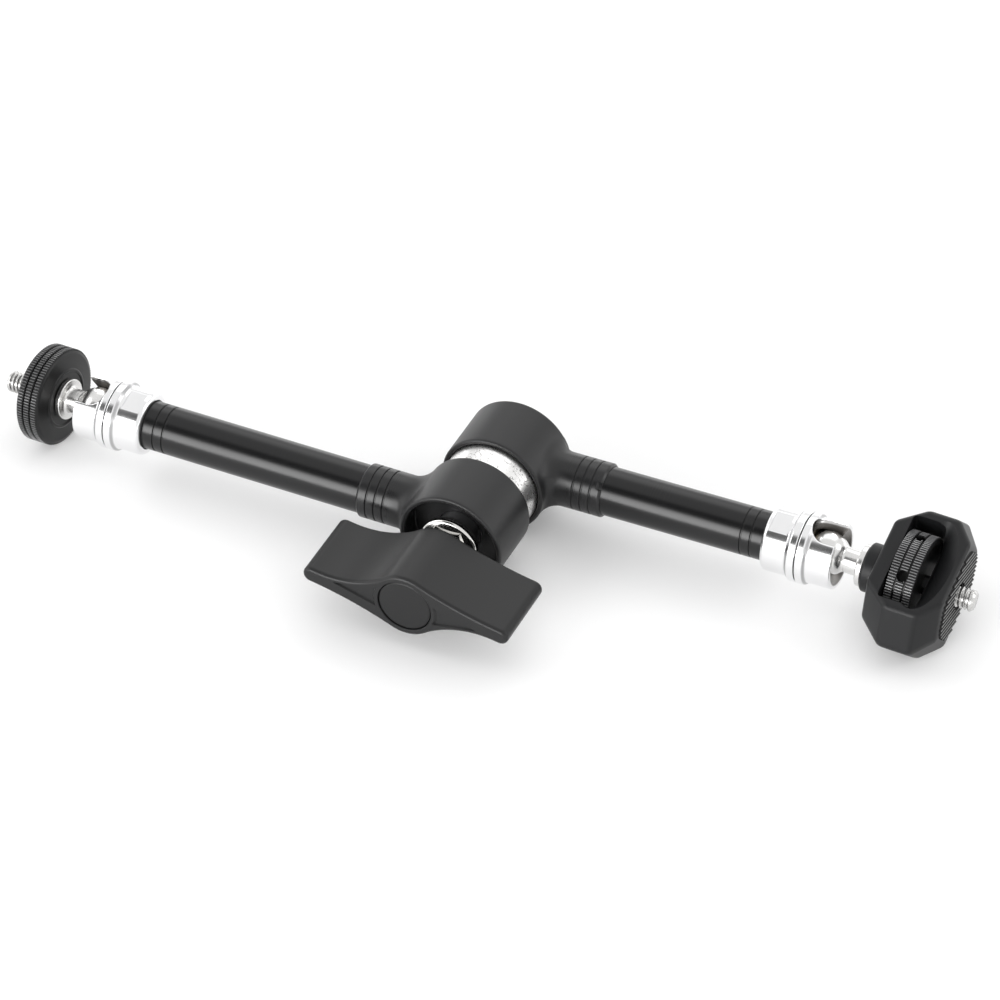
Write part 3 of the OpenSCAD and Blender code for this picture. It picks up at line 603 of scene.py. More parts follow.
def barTree():
    # eased bars, each as long as its point says
    tree = Tree("rubberBars", Width=0.7, Height=0.5)
    bar = tree.node("GeometryNodeMeshCylinder", {}, {"Vertices": 12, "Radius": 0.5, "Depth": 1.0})
    points = tree.given.outputs[0]
    reach = tree.node("GeometryNodeInputNamedAttribute", {"data_type": "FLOAT"}, {"Name": "reach"})
    turn = tree.node("GeometryNodeInputNamedAttribute", {"data_type": "FLOAT"}, {"Name": "heading"})
    size = tree.node("ShaderNodeCombineXYZ", {}, {0: tree.input("Height") * 2, 1: tree.input("Width"), 2: reach})
    lying = tree.node("GeometryNodeTransform", {}, {"Geometry": bar, "Rotation": (0, 0, radians(15))})
    heading = tree.node("ShaderNodeCombineXYZ", {}, {1: pi / 2, 2: turn})
    made = tree.node("GeometryNodeInstanceOnPoints", {}, {"Points": Wire(tree, points), "Instance": lying,
        "Rotation": heading, "Scale": size})
    return tree.close(made)


def pointsWith(name, rows):
    # loose points with a length and a heading each
    piece = meshPiece(name, [row[0] for row in rows], [], False)
    for key, column in (("reach", 1), ("heading", 2)):
        data = piece.data.attributes.new(key, "FLOAT", "POINT")
        for i, row in enumerate(rows):
            data.data[i].value = row[column]
    return piece


knurls, thread, bars = knurlTree(), threadTree(), barTree()
print("node trees:", len(bpy.data.node_groups))


# elbow housings

housing = {
    "barrelR": 15.5, "recessR": 13.9, "front": 11.3, "rear": 8.4, "floor": 4.6, "edge": 0.8,
    "boreR": 6.5, "blind": 5.0, "spigotR": 10.8, "spigotL": 3.0,
    "stubR": 7.8, "stubL": 31.0, "fillet": 6.0, "seatR": 7.0, "seat": 17.5,
    "grooves": (27.8, 25.2, 22.6), "grooveW": 0.5, "grooveD": 0.35, "chamfer": 0.6,
    "notchTurn": 45, "notchHalf": 9, "notchL": 1.0, "columns": 160,
}


def barrel(side):
    h = housing
    mid = (h["barrelR"] + h["recessR"]) / 2
    bead = (h["barrelR"] - h["recessR"]) / 2
    rim = arc((mid, bead - h["front"]), bead, 180, 360, 16)
    back = arc((h["barrelR"] - h["edge"], h["rear"] - h["edge"]), h["edge"], 0, 90, 8)
    inner = eased([(h["boreR"], -h["floor"]), (h["recessR"], -h["floor"]), rim[0]], 0.4, 4, False)
    outside = [(h["barrelR"], 1 - h["front"] + bead)] + [(h["barrelR"], h["rear"] - h["edge"] - 0.6)]
    if side == "front":
        tail = [(h["spigotR"], h["rear"]), (h["spigotR"], h["rear"] + h["spigotL"]), (h["boreR"], h["rear"] + h["spigotL"])]
        return turned(side + "Barrel", inner[:-1] + rim + outside + back + tail, 192)
    blind = [(0, h["blind"]), (h["boreR"], h["blind"])]
    tail = [(h["barrelR"] - h["edge"] - 0.6, h["rear"]), (0, h["rear"])]
    return turned(side + "Barrel", blind + inner[:-1] + rim + outside + back + tail, 192, False)


def softLeast(a, b, blend=0.5):
    return -blend * log(exp(-a / blend) + exp(-b / blend))


def stub(side):
    # the arm's stub, run into the barrel by a rolling fillet
    h = housing
    b, a, inside = h["barrelR"], h["stubR"], h["barrelR"] - 0.9
    low, high = (-h["front"], h["rear"]) if side == "front" else (-h["rear"], h["front"])
    angles = [2 * pi * k / h["columns"] for k in range(h["columns"])]
    outer = [(h["seatR"] - 0.02, h["seat"]), (h["seatR"] - 0.02, h["stubL"]), (a - h["chamfer"], h["stubL"]), (a, h["stubL"] - h["chamfer"])]
    for z in h["grooves"]:
        w, d = h["grooveW"] / 2, h["grooveD"]
        outer += [(a, z + w), (a - d, z + w * 0.8), (a - d, z - w * 0.8), (a, z - w)]
    outer = eased(outer + [(a, 20.5)], 0.12, 3, False)
    rings = []
    for r, z in outer:
        ring = []
        for angle in angles:
            dip = side == "rear" and z > h["stubL"] - h["notchL"] and r > h["seatR"] + 0.05 \
                and abs(angle - radians(h["notchTurn"])) < radians(h["notchHalf"])
            ring.append((r * cos(angle), r * sin(angle), z - h["notchL"] if dip else z))
        rings.append(ring)
    arcs = []
    for angle in angles:
        room = (high if sin(angle) > 0 else -low) - (0.35 if min(high, -low) == (high if sin(angle) > 0 else -low) else 1.2)
        r = max(0.25, softLeast(h["fillet"], room / max(abs(sin(angle)), 0.05) - a))
        x, y = (a + r) * cos(angle), (a + r) * sin(angle)
        z = sqrt((b + r) ** 2 - x * x)
        centre = Vector((x, y, z))
        start = Vector((a * cos(angle), a * sin(angle), z)) - centre
        end = Vector((x * b / (b + r), y, z * b / (b + r))) - centre
        column = [centre + start.slerp(end, k / 12).normalized() * r for k in range(13)]
        inward = end.normalized()
        onward = (-start + start.dot(inward) * inward).normalized()
        for step, sink in ((0.5, 0.012), (1.1, 0.06), (1.8, 0.25), (2.2, 0.7)):
            p = centre + end + onward * step
            p.y = min(max(p.y, low + 0.5), high - 0.3)
            flat = Vector((p.x, 0, p.z)).normalized() * (b - sink)
            column.append(Vector((flat.x, p.y, flat.z)))
        arcs.append(column)
    for k in range(len(arcs[0])):
        rings.append([tuple(column[k]) for column in arcs])
    last = rings[-1]
    for share in (0.97, 0.7, 0.45):
        rings.append([(x * share, y * share, sqrt(inside ** 2 - (x * share) ** 2)) for x, y, z in last])
    bore = 2.6
    rings.append([(bore * cos(t), bore * sin(t), sqrt(inside ** 2 - (bore * cos(t)) ** 2)) for t in angles])
    rings.append([(bore * cos(t), bore * sin(t), h["seat"]) for t in angles])
    return lofted(side + "Stub", rings, closed=True)


stubBlack = powderCoat("stubBlack", castColour, 0.4, barrelAxis=sides["front"]["barrel"])
for side in ("front", "rear"):
    body = side + "_arm"
    finish(barrel(side), sides[side]["barrel"], body, castBlack, "black_castings", side + "_housing")
    finish(stub(side), sides[side]["arm"], body, stubBlack, "black_castings", side + "_housing", sharp=50)
print("housings done")


# friction ring between the barrels

ring = {"outer": 13.8, "inner": 10.9, "start": 8.5, "end": 22.98, "ease": 0.35}
band = turned("frictionRing", eased([(ring["inner"], ring["start"]), (ring["outer"], ring["start"]),
    (ring["outer"], ring["end"]), (ring["inner"], ring["end"])], ring["ease"], 4), 192)
finish(band, sides["front"]["barrel"], body_of(nodes["friction_ring"])[0], brightRing, "ring", "friction_ring")


# arm tubes

tube = {"radius": 7.0, "wall": 1.2, "start": 17.52, "tubeIn": 5.4, "adapterL": 10.8,
    "firstGroove": 3.6, "pitch": 2.9, "grooveW": 0.5, "grooveD": 0.35}

for side in ("front", "rear"):
    t, reach = tube, sides[side]["reach"]
    end = reach - t["adapterL"]
    line = [(t["radius"] - t["wall"], t["start"]), (t["radius"], t["start"])]
    for i in (1, 0):
        z, w = end - t["firstGroove"] - i * t["pitch"], t["grooveW"] / 2
        line += [(t["radius"], z - w), (t["radius"] - t["grooveD"], z - w * 0.8),
            (t["radius"] - t["grooveD"], z + w * 0.8), (t["radius"], z + w)]
    line += [(t["radius"], end + t["tubeIn"]), (t["radius"] - t["wall"], end + t["tubeIn"])]
    finish(turned(side + "Tube", eased(line, 0.1), 160), sides[side]["arm"], side + "_arm", tubeBlack,
        "black_tube", side + "_tube")
print("tubes done")


# socket adapters and slotted ball cups

socket = {
    "ballR": 6.3, "cupR": 9.3, "cupL": 10.2, "adapterL": 10.8, "adapterR": 9.2, "ridgeR": 10.2, "ridgeL": 2.2,
    "slotHalf": 4.8, "slotBack": 0.6, "lip": 2.5, "mouthR": 7.6, "cupBore": 6.35, "neckR": 7.85,
    "flatCut": 0.62, "flatL": 5.4, "slotEdge": 0.45,
}


def adapter(side):
    s, face = socket, -arm["seam"] / 2
    outer = arc((s["adapterR"] - 1.5, 1.5 - s["adapterL"]), 1.5, -90, 0, 8)
    line = [(tube["radius"] + 0.05, -s["adapterL"] + 0.3), (tube["radius"] + 0.35, -s["adapterL"])] + outer + eased(
        [(s["adapterR"], -5), (s["adapterR"], face - s["ridgeL"] - 0.9), (s["ridgeR"], face - s["ridgeL"] + 0.2),
            (s["ridgeR"], face), (s["neckR"] + 0.1, face)], 0.32, 5, False)
    line += [(s["neckR"] + 0.1, -3.3), (2.6, -3.3), (2.6, -5.4), (tube["radius"] + 0.05, -5.4)]
    piece = turned(side + "Adapter", line, 160)
    flats = []
    for turn in (0, pi):
        x = s["adapterR"] - s["flatCut"]
        low = -s["adapterL"] + 1.5
        flat = prism("flat", [(x, -14), (x + 4, -14), (x + 4, 14), (x, 14)], low, low + s["flatL"])
        flats.append(turnedBy(flat, flatTurn[side] + turn))
    return cut(piece, *flats)


def cup(side):
    s, face = socket, arm["seam"] / 2
    high = arm["ballOut"]
    sphere = arc((0, high), s["cupBore"], 0, asin(s["lip"] / s["cupBore"]) * 180 / pi, 6)
    line = [(s["neckR"], -3.2), (s["cupBore"], -3.2)] + sphere
    line += eased([sphere[-1], (s["mouthR"], s["cupL"]), (s["cupR"], s["cupL"]), (s["cupR"], face + s["ridgeL"] + 0.7),
        (s["ridgeR"], face + s["ridgeL"] - 0.2), (s["ridgeR"], face), (s["neckR"], face)], 0.4, 5, False)[1:]
    piece = turned(side + "Cup", line, 160)
    back = high + s["slotBack"]

    def slotRing(wide, lift):
        # follows the cup's skin, lift below it
        half, ring = s["slotHalf"] + wide, []
        for u, v in arc((0, 0), half, 180, 360, 32) + [(half, 4.5), (half, 9), (-half, 9), (-half, 4.5)]:
            onRidge = min(1, max(0, (face + s["ridgeL"] + 0.7 - back - v) / 0.9))
            skin = s["cupR"] + (s["ridgeR"] - s["cupR"]) * onRidge
            ring.append((u, v, sqrt(skin ** 2 - u * u) + lift))
        return ring

    edge = s["slotEdge"]
    rings = [[(u, v, 0) for u, v, h in slotRing(0, 0)], slotRing(0, -edge * 1.2)]
    rings += [slotRing(edge * (1 - cos(pi / 2 * k / 4)), edge * (sin(pi / 2 * k / 4) - 1)) for k in range(5)]
    rings.append([(u, v, 2 * s["cupR"]) for u, v, h in slotRing(edge * 1.3, 0)])
    slot = lofted("slot", rings)  # drawn flat, then stood up to face outwards
    stand = Matrix(((0, 0, 1), (1, 0, 0), (0, 1, 0))).to_4x4()
    moved(slot, Matrix.Translation((0, 0, back)) @ stand)
    turnedBy(slot, slotTurn[side])
    return cut(piece, slot)


for side in ("front", "rear"):
    seamPlace = sides[side]["seam"]
    for make, part, body, skin in ((adapter, "_adapter", "_arm", 7.3), (cup, "_cup", "_cup", 8.45)):
        polish = socketAlloy(side + part + "Alloy", seamPlace, skin)
        finish(make(side), seamPlace, side + body, polish, "polished", side + part, weigh=True)
print("sockets done")


# ball studs

stud = {"ballR": 6.3, "stemR": 3.6, "flangeR": 6.0, "flangeZ": 10.0, "flangeT": 1.6, "fillet": 0.9,
    "screwR": 2.775, "wheelFace": 19.84, "screwEnd": 30.4, "spigotR": 4.2, "spigotEnd": 19.2}


def ballStud(side):
    s = stud
    top = s["flangeZ"] + s["flangeT"]
    join = 90 - asin(s["stemR"] / s["ballR"]) * 180 / pi
    ball = [(0, -s["ballR"])] + arc((0, 0), s["ballR"], -84, join - 4, 40)
    neckZ = sqrt(s["ballR"] ** 2 - s["stemR"] ** 2)
    neck = [(s["stemR"], neckZ + 0.35), (s["stemR"], neckZ + 0.6)]
    fillet = arc((s["stemR"] + s["fillet"], s["flangeZ"] - s["fillet"]), s["fillet"], 180, 90, 6)
    flange = eased([fillet[-1], (s["flangeR"], s["flangeZ"]), (s["flangeR"], top), (s["screwR"], top)], 0.35, 4, False)
    shank = [(s["screwR"], s["wheelFace"] - 0.3)] if side == "front" else [(s["spigotR"], top + 0.01), (s["spigotR"], s["spigotEnd"])]
    tip = shank[-1][1]
    line = ball + neck + fillet[:-1] + flange + shank + [(0, tip)]
    return turned(side + "Stud", line, 96, False)


for side in ("front", "rear"):
    finish(ballStud(side), sides[side]["stud"], side + "_stud", studSteel, "steel", side + "_ball_stud")

length = stud["screwEnd"] - stud["wheelFace"] + 0.4
piece = thread.grow("frontThread", threadSteel, Length=length, Plain=0.7, Tip=0.55, Rows=150)
moved(piece, Matrix.Translation((0, 0, stud["wheelFace"] - 0.4)))
finish(piece, sides["front"]["stud"], "front_stud", threadSteel, "steel", "front_ball_stud", sharp=65)
print("studs done")


# thumb wheel and its rubber face

wheel = {
    "radius": 14.3, "near": 11.7, "rim": 12.6, "end": 19.5, "hubR": 8.6, "holeR": 3.3, "flangeR": 6.5,
    "teeth": 108, "depth": 0.4, "bands": 3, "gap": 0.55, "padR": 12.4, "padSink": 0.8, "padT": 1.1,
}


def wheelCore():
    w = wheel
    core = w["radius"] - w["depth"] - 0.42
    root = w["radius"] - w["depth"] - 0.1
    line = [(w["holeR"], w["near"]), (w["hubR"] - 0.6, w["near"]), (w["hubR"] - 0.6, w["near"] - 0.3),
        (w["hubR"], w["near"] - 0.3), (w["hubR"] + 0.3, w["near"]), (root - 0.7, w["rim"] - 0.4),
        (root, w["rim"] - 0.05), (root, w["rim"] + 0.2), (core, w["rim"] + 0.3), (core, w["end"] - 0.9), (root, w["end"] - 0.8),
        (root, w["end"] - 0.4), (root - 0.4, w["end"]), (w["padR"] + 0.3, w["end"]),
        (w["padR"] + 0.3, w["end"] - w["padSink"]), (w["holeR"], w["end"] - w["padSink"])]
    return turned("wheelCore", eased(line, 0.16, 3), 160)


def wheelBands(name, place, radius, start, length, gap, crest):
    w = wheel
    band = (length - (w["bands"] - 1) * gap) / w["bands"]
    material = knurled(name + "Black", place, radius, (crest, crest, crest * 1.02))
    piece = knurls.grow(name, material, Radius=radius, Inner=radius - 2.0, Length=band, Depth=w["depth"], Ease=0.14,
        Pitch=band + gap, Teeth=w["teeth"], Bands=w["bands"])
    return moved(piece, Matrix.Translation((0, 0, start))), material


def wheelFace():
    w = wheel
    base = w["end"] - w["padSink"] + 0.02
    padRubber = rubberSheet("wheelRubber", [0.008, 0.008, 0.0082], sides["front"]["stud"], base + w["padT"])
    line = [(w["holeR"] + 0.1, base), (w["padR"], base), (w["padR"], base + w["padT"] - 0.3),
        (w["holeR"] + 0.1, base + w["padT"] - 0.3)]
    disc = turned("wheelPad", eased(line, 0.1), 96)
    count = 72
    rows = [((9.6 * cos(t), 9.6 * sin(t), base + w["padT"] - 0.3), 4.9, t) for t in [2 * pi * k / count for k in range(count)]]
    ribs = bars.grow("padRibs", padRubber, pointsWith("padRibs", rows), Width=0.5, Height=0.29)
    return disc, ribs, padRubber


studPlace = sides["front"]["stud"]
finish(wheelCore(), studPlace, "thumb_wheel", wheelBlack, "wheel", "thumb_wheel")
# the crest colour 0.1 is worn metal plus a painted glint on the teeth
piece, knurlBlack = wheelBands("wheelBands", studPlace, wheel["radius"], wheel["rim"] + 0.05,
    wheel["end"] - wheel["rim"] - 0.6, wheel["gap"], 0.1)
finish(piece, studPlace, "thumb_wheel", knurlBlack, "wheel", "thumb_wheel", sharp=25)
disc, ribs, rubber = wheelFace()
for piece in (disc, ribs):
    finish(piece, studPlace, "pad", rubber, "rubber", "wheel_pad")
print("thumb wheel done")


# mount block, its wheel, pad and screw

block = {
    "halfT": 11.2, "near": 16.0, "far": 38.2, "nearCorner": 7.6, "farCorner": 5.4,
    "face": (10.2, 16.4), "belt": (15.4, 22.6), "round": 1.15,
    "window": (13.9, 20.4, 29.9), "cavityR": 14.3, "bossR": 7.0, "bossFrom": 11.7,
    "scoop": (14.9, 6.6, 7.5), "wheelR": 13.7, "wheelNear": 21.0, "wheelL": 7.6,
    "holes": 6, "holeR": 1.65, "holeTurn": 28, "holeDepth": 5.0,
    "padInset": 1.7, "padReach": 0.45, "padSink": 1.0, "padT": 1.6, "padRib": 0.6, "ribPitch": 1.42, "ribW": 0.66, "ribTurn": 60,
    "screwEnd": 43.42, "padFace": 38.82,
}


def blockBody():
    s = block
    shape = bmesh.new()
    for x, (side, end) in ((s["halfT"], s["face"]), (0, s["belt"]), (-s["halfT"], s["face"])):
        for sign in (1, -1):
            for y, z in ((side, s["near"]), (end, s["near"] + s["nearCorner"]), (end, s["far"] - s["farCorner"]), (side, s["far"])):
                shape.verts.new((x, sign * y, z))
    bmesh.ops.convex_hull(shape, input=shape.verts)
    bmesh.ops.dissolve_limit(shape, angle_limit=radians(1), verts=shape.verts, edges=shape.edges)
    bmesh.ops.recalc_face_normals(shape, faces=shape.faces)
    mesh = bpy.data.meshes.new("mountBlock")
    shape.to_mesh(mesh)
    shape.free()
    piece = bpy.data.objects.new("mountBlock", mesh)
    bpy.context.scene.collection.objects.link(piece)
    broken(piece, s["round"], 8, 4)
    half, low, high = s["window"]
    window = prism("window", eased([(-half, low), (half, low), (half, high), (-half, high)], 1.2, 5), -15, 15)
    moved(window, Matrix(((0, 0, 1), (1, 0, 0), (0, 1, 0))).to_4x4())
    cavity = turned("cavity", [(0, low), (s["cavityR"], low), (s["cavityR"], high), (0, high)], 128, False)
    rings = []
    for k in range(13):  # a thumb's room beside the wheel, wider towards the face
        t = min(1, k / 11)
        wide, deep = s["scoop"][0] * (0.62 + 0.38 * t), s["scoop"][1] * (0.04 + 0.96 * t ** 1.7)
        x = s["halfT"] - s["scoop"][2] * (1 - t) + (2 if k == 12 else 0)
        rings.append([(x, -wide * cos(a), high - 0.02 + deep * sin(a)) for a in [-0.36 + (pi + 0.72) * i / 36 for i in range(37)]])
    scoop = lofted("scoop", rings)
    sink = prism("sink", padOutline(s["padInset"]), s["far"] - s["padSink"], s["far"] + 1)
    bore = turned("bore", [(0, 11), (stud["spigotR"] + 0.1, 11), (stud["spigotR"] + 0.1, 25), (0, 25)], 64, False)
    screwHole = turned("screwHole", [(0, high - 1), (3.3, high - 1), (3.3, s["far"] + 1), (0, s["far"] + 1)], 64, False)
    boss = turned("boss", eased([(0, s["bossFrom"]), (s["bossR"] - 0.5, s["bossFrom"]), (s["bossR"], s["bossFrom"] + 0.5),
        (s["bossR"], s["near"] + 1), (0, s["near"] + 1)], 0.2, 3, False), 96, False)
    cut(piece, boss, how="UNION")
    return cut(piece, window, cavity, scoop, sink, bore, screwHole)


def padOutline(inset):
    s = block
    top, belt, face = s["halfT"] - inset, s["belt"][0] - inset * s["padReach"], s["face"][0] - inset / 2
    return eased([(0, belt), (-top, face), (-top, -face), (0, -belt), (top, -face), (top, face)], 3.2, 6)


def blockPad():
    s = block
    base = s["far"] - s["padSink"] + 0.02
    low = s["padT"] - s["padRib"]
    outline = padOutline(s["padInset"] + 0.12)
    sheet = prism("mountPad", outline, base, base + low)
    hole = turned("hole", [(0, base - 1), (3.5, base - 1), (3.5, base + 3), (0, base + 3)], 48, False)
    cut(sheet, hole)
    # each rib is a chord of the outline
    turn = radians(s["ribTurn"])
    along, across = Vector((cos(turn), sin(turn))), Vector((-sin(turn), cos(turn)))
    edge = padOutline(s["padInset"] + 0.35)
    rows = []
    for i in range(-22, 22):
        offset = (i + 0.5) * s["ribPitch"]
        hits = []
        for a, b in zip(edge, edge[1:] + edge[:1]):
            da, db = Vector(a).dot(across) - offset, Vector(b).dot(across) - offset
            if da * db < 0:
                hits.append((Vector(a) + (Vector(b) - Vector(a)) * (da / (da - db))).dot(along))
        if len(hits) < 2:
            continue
        first, last = min(hits), max(hits)
        spans = [(first, last)]
        if abs(offset) < 3.9:  # the screw's hole parts the middle ribs
            gap = sqrt(3.9 ** 2 - offset ** 2)
            spans = [(first, -gap), (gap, last)]
        for start, end in spans:
            if end - start > 0.8:
                mid = along * (start + end) / 2 + across * offset
                rows.append(((mid.x, mid.y, base + low), end - start, turn))
    padRubber = rubberSheet("mountRubber", [0.008, 0.008, 0.0082], blockPlace, base + s["padT"])
    ribs = bars.grow("mountRibs", padRubber, pointsWith("mountRibs", rows), Width=s["ribW"], Height=s["padRib"] - 0.01)
    return sheet, ribs, padRubber


def holeCutters():
    s = block
    for i in range(s["holes"]):
        tool = turned("drill", [(0, 0), (s["holeR"], 0), (s["holeR"], s["holeDepth"] + 1), (0, s["holeDepth"] + 1)], 32, False)
        turnedBy(tool, pi / 2, "Y")
        moved(tool, Matrix.Translation((s["wheelR"] - s["holeDepth"], 0, s["wheelNear"] + s["wheelL"] / 2)))
        yield turnedBy(tool, radians(i * 360 / s["holes"] + s["holeTurn"]))


s = block
finish(blockBody(), blockPlace, "mount", blockBlack, "black_castings", "mount_block", sharp=30, weigh=True)
sheet, ribs, rubber = blockPad()
for piece in (sheet, ribs):
    finish(piece, blockPlace, "mount", rubber, "rubber", "mount_pad")
# the crest colour 0.18 is worn metal plus a painted glint on the teeth
bandsPiece, knurlBlack = wheelBands("mountWheelBands", blockPlace, s["wheelR"], s["wheelNear"], s["wheelL"], 0.5, 0.18)
finish(cut(bandsPiece, *holeCutters()), blockPlace, "mount_screw", knurlBlack, "wheel", "mount_wheel", sharp=25)
core = turned("mountWheelCore", eased([(2.8, s["wheelNear"] + 0.15), (s["wheelR"] - 0.75, s["wheelNear"] + 0.15),
    (s["wheelR"] - 0.75, s["wheelNear"] + s["wheelL"] - 0.15), (2.8, s["wheelNear"] + s["wheelL"] - 0.15)], 0.1), 128)
finish(cut(core, *holeCutters()), blockPlace, "mount_screw", wheelBlack, "wheel", "mount_wheel")
shank = turned("mountShank", eased([(0, 20.7), (stud["screwR"], 20.7), (stud["screwR"], s["padFace"] - 0.5), (0, s["padFace"] - 0.5)], 0.2, 3, False), 64, False)
finish(shank, blockPlace, "mount_screw", wheelBlack, "steel", "mount_screw")
piece = thread.grow("mountThread", threadSteel, Length=s["screwEnd"] - s["padFace"] + 0.6, Plain=1.1, Tip=0.9, Rows=90)
moved(piece, Matrix.Translation((0, 0, s["padFace"] - 0.6)))
finish(piece, blockPlace, "mount_screw", threadSteel, "steel", "mount_screw", sharp=65)
print("mount block done")


# wing knob, cap and flange nut

knob = {
    "halfW": 30.9, "depth": 23.6, "hubR": 9.9, "tipR": 2.4, "tipY": 0.5, "hollowR": 27.0, "flankR": 110.0, "edge": 1.1,
    "capR": 8.0, "capDepth": 1.2, "capGap": 0.15, "panelTip": 21.8, "panelHalf": 3.2, "panelGap": 1.0, "panelDepth": 0.5, "panelSlope": 0.8,
    "nutIn": 5.0, "nutFlats": 13.0, "flangeR": 8.6, "flangeT": 1.5, "nutBack": 29.3,
}


def heading(a, b):
    return (Vector(b) - Vector(a)).angle_signed(Vector((1, 0)))


def bridge(ra, b, rb, r, side):
    # centre of an arc that touches a circle at 0,0 and one at b
    toA, toB, d = ra + r, rb + r, Vector(b).length
    angle = heading((0, 0), b) + side * acosSafe((toA ** 2 + d * d - toB ** 2) / (2 * toA * d))
    return (toA * cos(angle), toA * sin(angle))


def acosSafe(value):
    return pi / 2 - asin(max(-1, min(1, value)))


def knobOutline(inset):
    k = knob
    tip = (k["halfW"] - k["tipR"], k["tipY"])
    hollow = bridge(k["hubR"], tip, k["tipR"], k["hollowR"], -1)
    flank = bridge(k["hubR"], tip, k["tipR"], k["flankR"], 1)
    origin = (0, 0)
    deg = 180 / pi

    def spun(centre, radius, start, end, steps):
        while end - start > pi:
            end -= 2 * pi
        while end - start < -pi:
            end += 2 * pi
        return arc(centre, radius, start * deg, end * deg, steps)[:-1]

    half = spun(hollow, k["hollowR"] + inset, heading(hollow, origin), heading(hollow, tip), 20)
    start, end = heading(tip, hollow), heading(tip, flank)
    half += arc(tip, k["tipR"] - inset, start * deg, (end if end > start else end + 2 * pi) * deg, 14)[:-1]
    half += spun(flank, k["flankR"] + inset, heading(flank, tip), heading(flank, origin), 14)
    half += spun(origin, k["hubR"] - inset, heading(origin, flank), heading(origin, hollow) + pi, 18)
    return half + [(-x, -y) for x, y in half]


def knobBody():
    k = knob
    steps = 7
    curve = [(k["edge"] * (1 - sin(pi / 2 * i / steps)), k["edge"] * (1 - cos(pi / 2 * i / steps))) for i in range(steps + 1)]
    levels = [(inset, -z) for inset, z in curve] + [(0, -k["edge"] - 0.5)]
    levels += [(0, -k["depth"] + k["edge"] + 0.5)] + [(inset, z - k["depth"]) for inset, z in reversed(curve)]
    body = lofted("knobBody", [[(x, y, z) for x, y in knobOutline(inset)] for inset, z in levels])
    tools = [turned("capSeat", [(0, -k["capDepth"]), (k["capR"], -k["capDepth"]), (k["capR"], -0.22),
        (k["capR"] + 0.06, -0.1), (k["capR"] + 0.2, 0), (k["capR"] + 0.2, 1), (0, 1)], 128, False)]
    r = k["capR"] + k["panelGap"]
    for sign in (1, -1):
        y = k["panelHalf"]
        start = sqrt(r * r - y * y)
        arcBack = [(r * cos(t), r * sin(t)) for t in [asin(y / r) * (i / 6) for i in range(6, -7, -1)]]
        outline = eased([(start, y)] + arcBack[1:-1] + [(start, -y), (k["panelTip"], 0)], 0.4, 3)
        middle = Vector((12.5, 0))
        draft = [Vector(p) + (middle - Vector(p)).normalized() * k["panelSlope"] for p in outline]
        dimple = lofted("dimple", [[(x, y, -k["panelDepth"]) for x, y in draft], [(x, y, 0) for x, y in outline],
            [(x, y, 1) for x, y in outline]])
        tools.append(turnedBy(dimple, 0 if sign > 0 else pi))
    hexR = k["nutFlats"] / 2 / cos(pi / 6) + 0.02
    hexagon = [(hexR * cos(pi / 3 * i), hexR * sin(pi / 3 * i)) for i in range(6)]
    tools.append(prism("pocket", hexagon, -k["depth"] - 1, -k["depth"] + k["nutIn"]))
    tools.append(turned("boltSpace", [(0, -k["depth"]), (4.5, -k["depth"]), (4.5, 8 - k["depth"]), (0, 8 - k["depth"])], 48, False))
    return cut(body, *tools)


def knobCap():
    k = knob
    r = k["capR"] - k["capGap"]
    line = [(0, -0.2), (r * 0.5, -0.215), (r - 0.9, -0.26), (r - 0.5, -0.29), (r - 0.2, -0.36), (r - 0.04, -0.52),
        (r, -0.7), (r, 0.02 - k["capDepth"]), (0, 0.02 - k["capDepth"])]
    return turned("knobCap", line, 128, False)


def flangeNut():
    k = knob
    back = -k["nutBack"]
    outside = eased([(4.1, back), (k["flangeR"], back), (k["flangeR"], back + k["flangeT"] - 0.5), (k["flangeR"] - 0.5, back + k["flangeT"]),
        (k["nutFlats"] / 2, back + k["flangeT"] + 0.8), (4.1, back + k["flangeT"] + 0.8)], 0.2, 4)
    flange = turned("nutFlange", outside, 128)
    hexR = k["nutFlats"] / 2 / cos(pi / 6)
    hexagon = [(hexR * cos(pi / 3 * i), hexR * sin(pi / 3 * i)) for i in range(6)]
    shape = prism("nutHex", hexagon, back + k["flangeT"], -k["depth"] + k["nutIn"] - 0.02)
    hole = turned("hole", [(0, back - 1), (4.1, back - 1), (4.1, 0), (0, 0)], 64, False)
    return flange, broken(cut(shape, hole), 0.18, 30, 3)


finish(knobBody(), knobPlace, "knob", knobBlack, "knob", "knob", sharp=32, weigh=True)
finish(knobCap(), knobPlace, "knob", capBlack, "knob", "knob_cap")
for piece in flangeNut():
    finish(piece, knobPlace, "knob", nutSteel, "steel", "knob_nut", weigh=True)
print("knob done")


# solids that stay as they are, most of them inside

kept = {
    "oiledSteel": (oiledSteel, ("front_snap_ring", "rear_snap_ring", "front_push_rod", "rear_push_rod", "front_wedge",
        "rear_wedge", "tie_bolt", "spreader_spring", "stud_ring", "thrust_washer")),
    "seatBrass": (seatBrass, ("front_ball_seat", "rear_ball_seat")),
}
for material, names in kept.values():
    for name in names:
        nodes[name].data.materials.clear()
        nodes[name].data.materials.append(material)
unseen = [name for name, node in nodes.items() if not node.hide_render]
print("solids kept:", sorted(unseen))


# floor, world, lamps and camera

stage = {"floor": 3.0, "floorColour": 0.8, "floorLift": 0.15, "horizon": 2.4, "dome": 0.95, "rise": (0.04, 0.2),
    "gapAt": (-0.32, -0.609, 0.725), "gapEdge": (0.93, 0.985), "gapDark": 0.92,
    "panelAt": (-0.32, -0.934, 0.16), "panelEdge": (0.88, 0.985), "panel": 7.0}


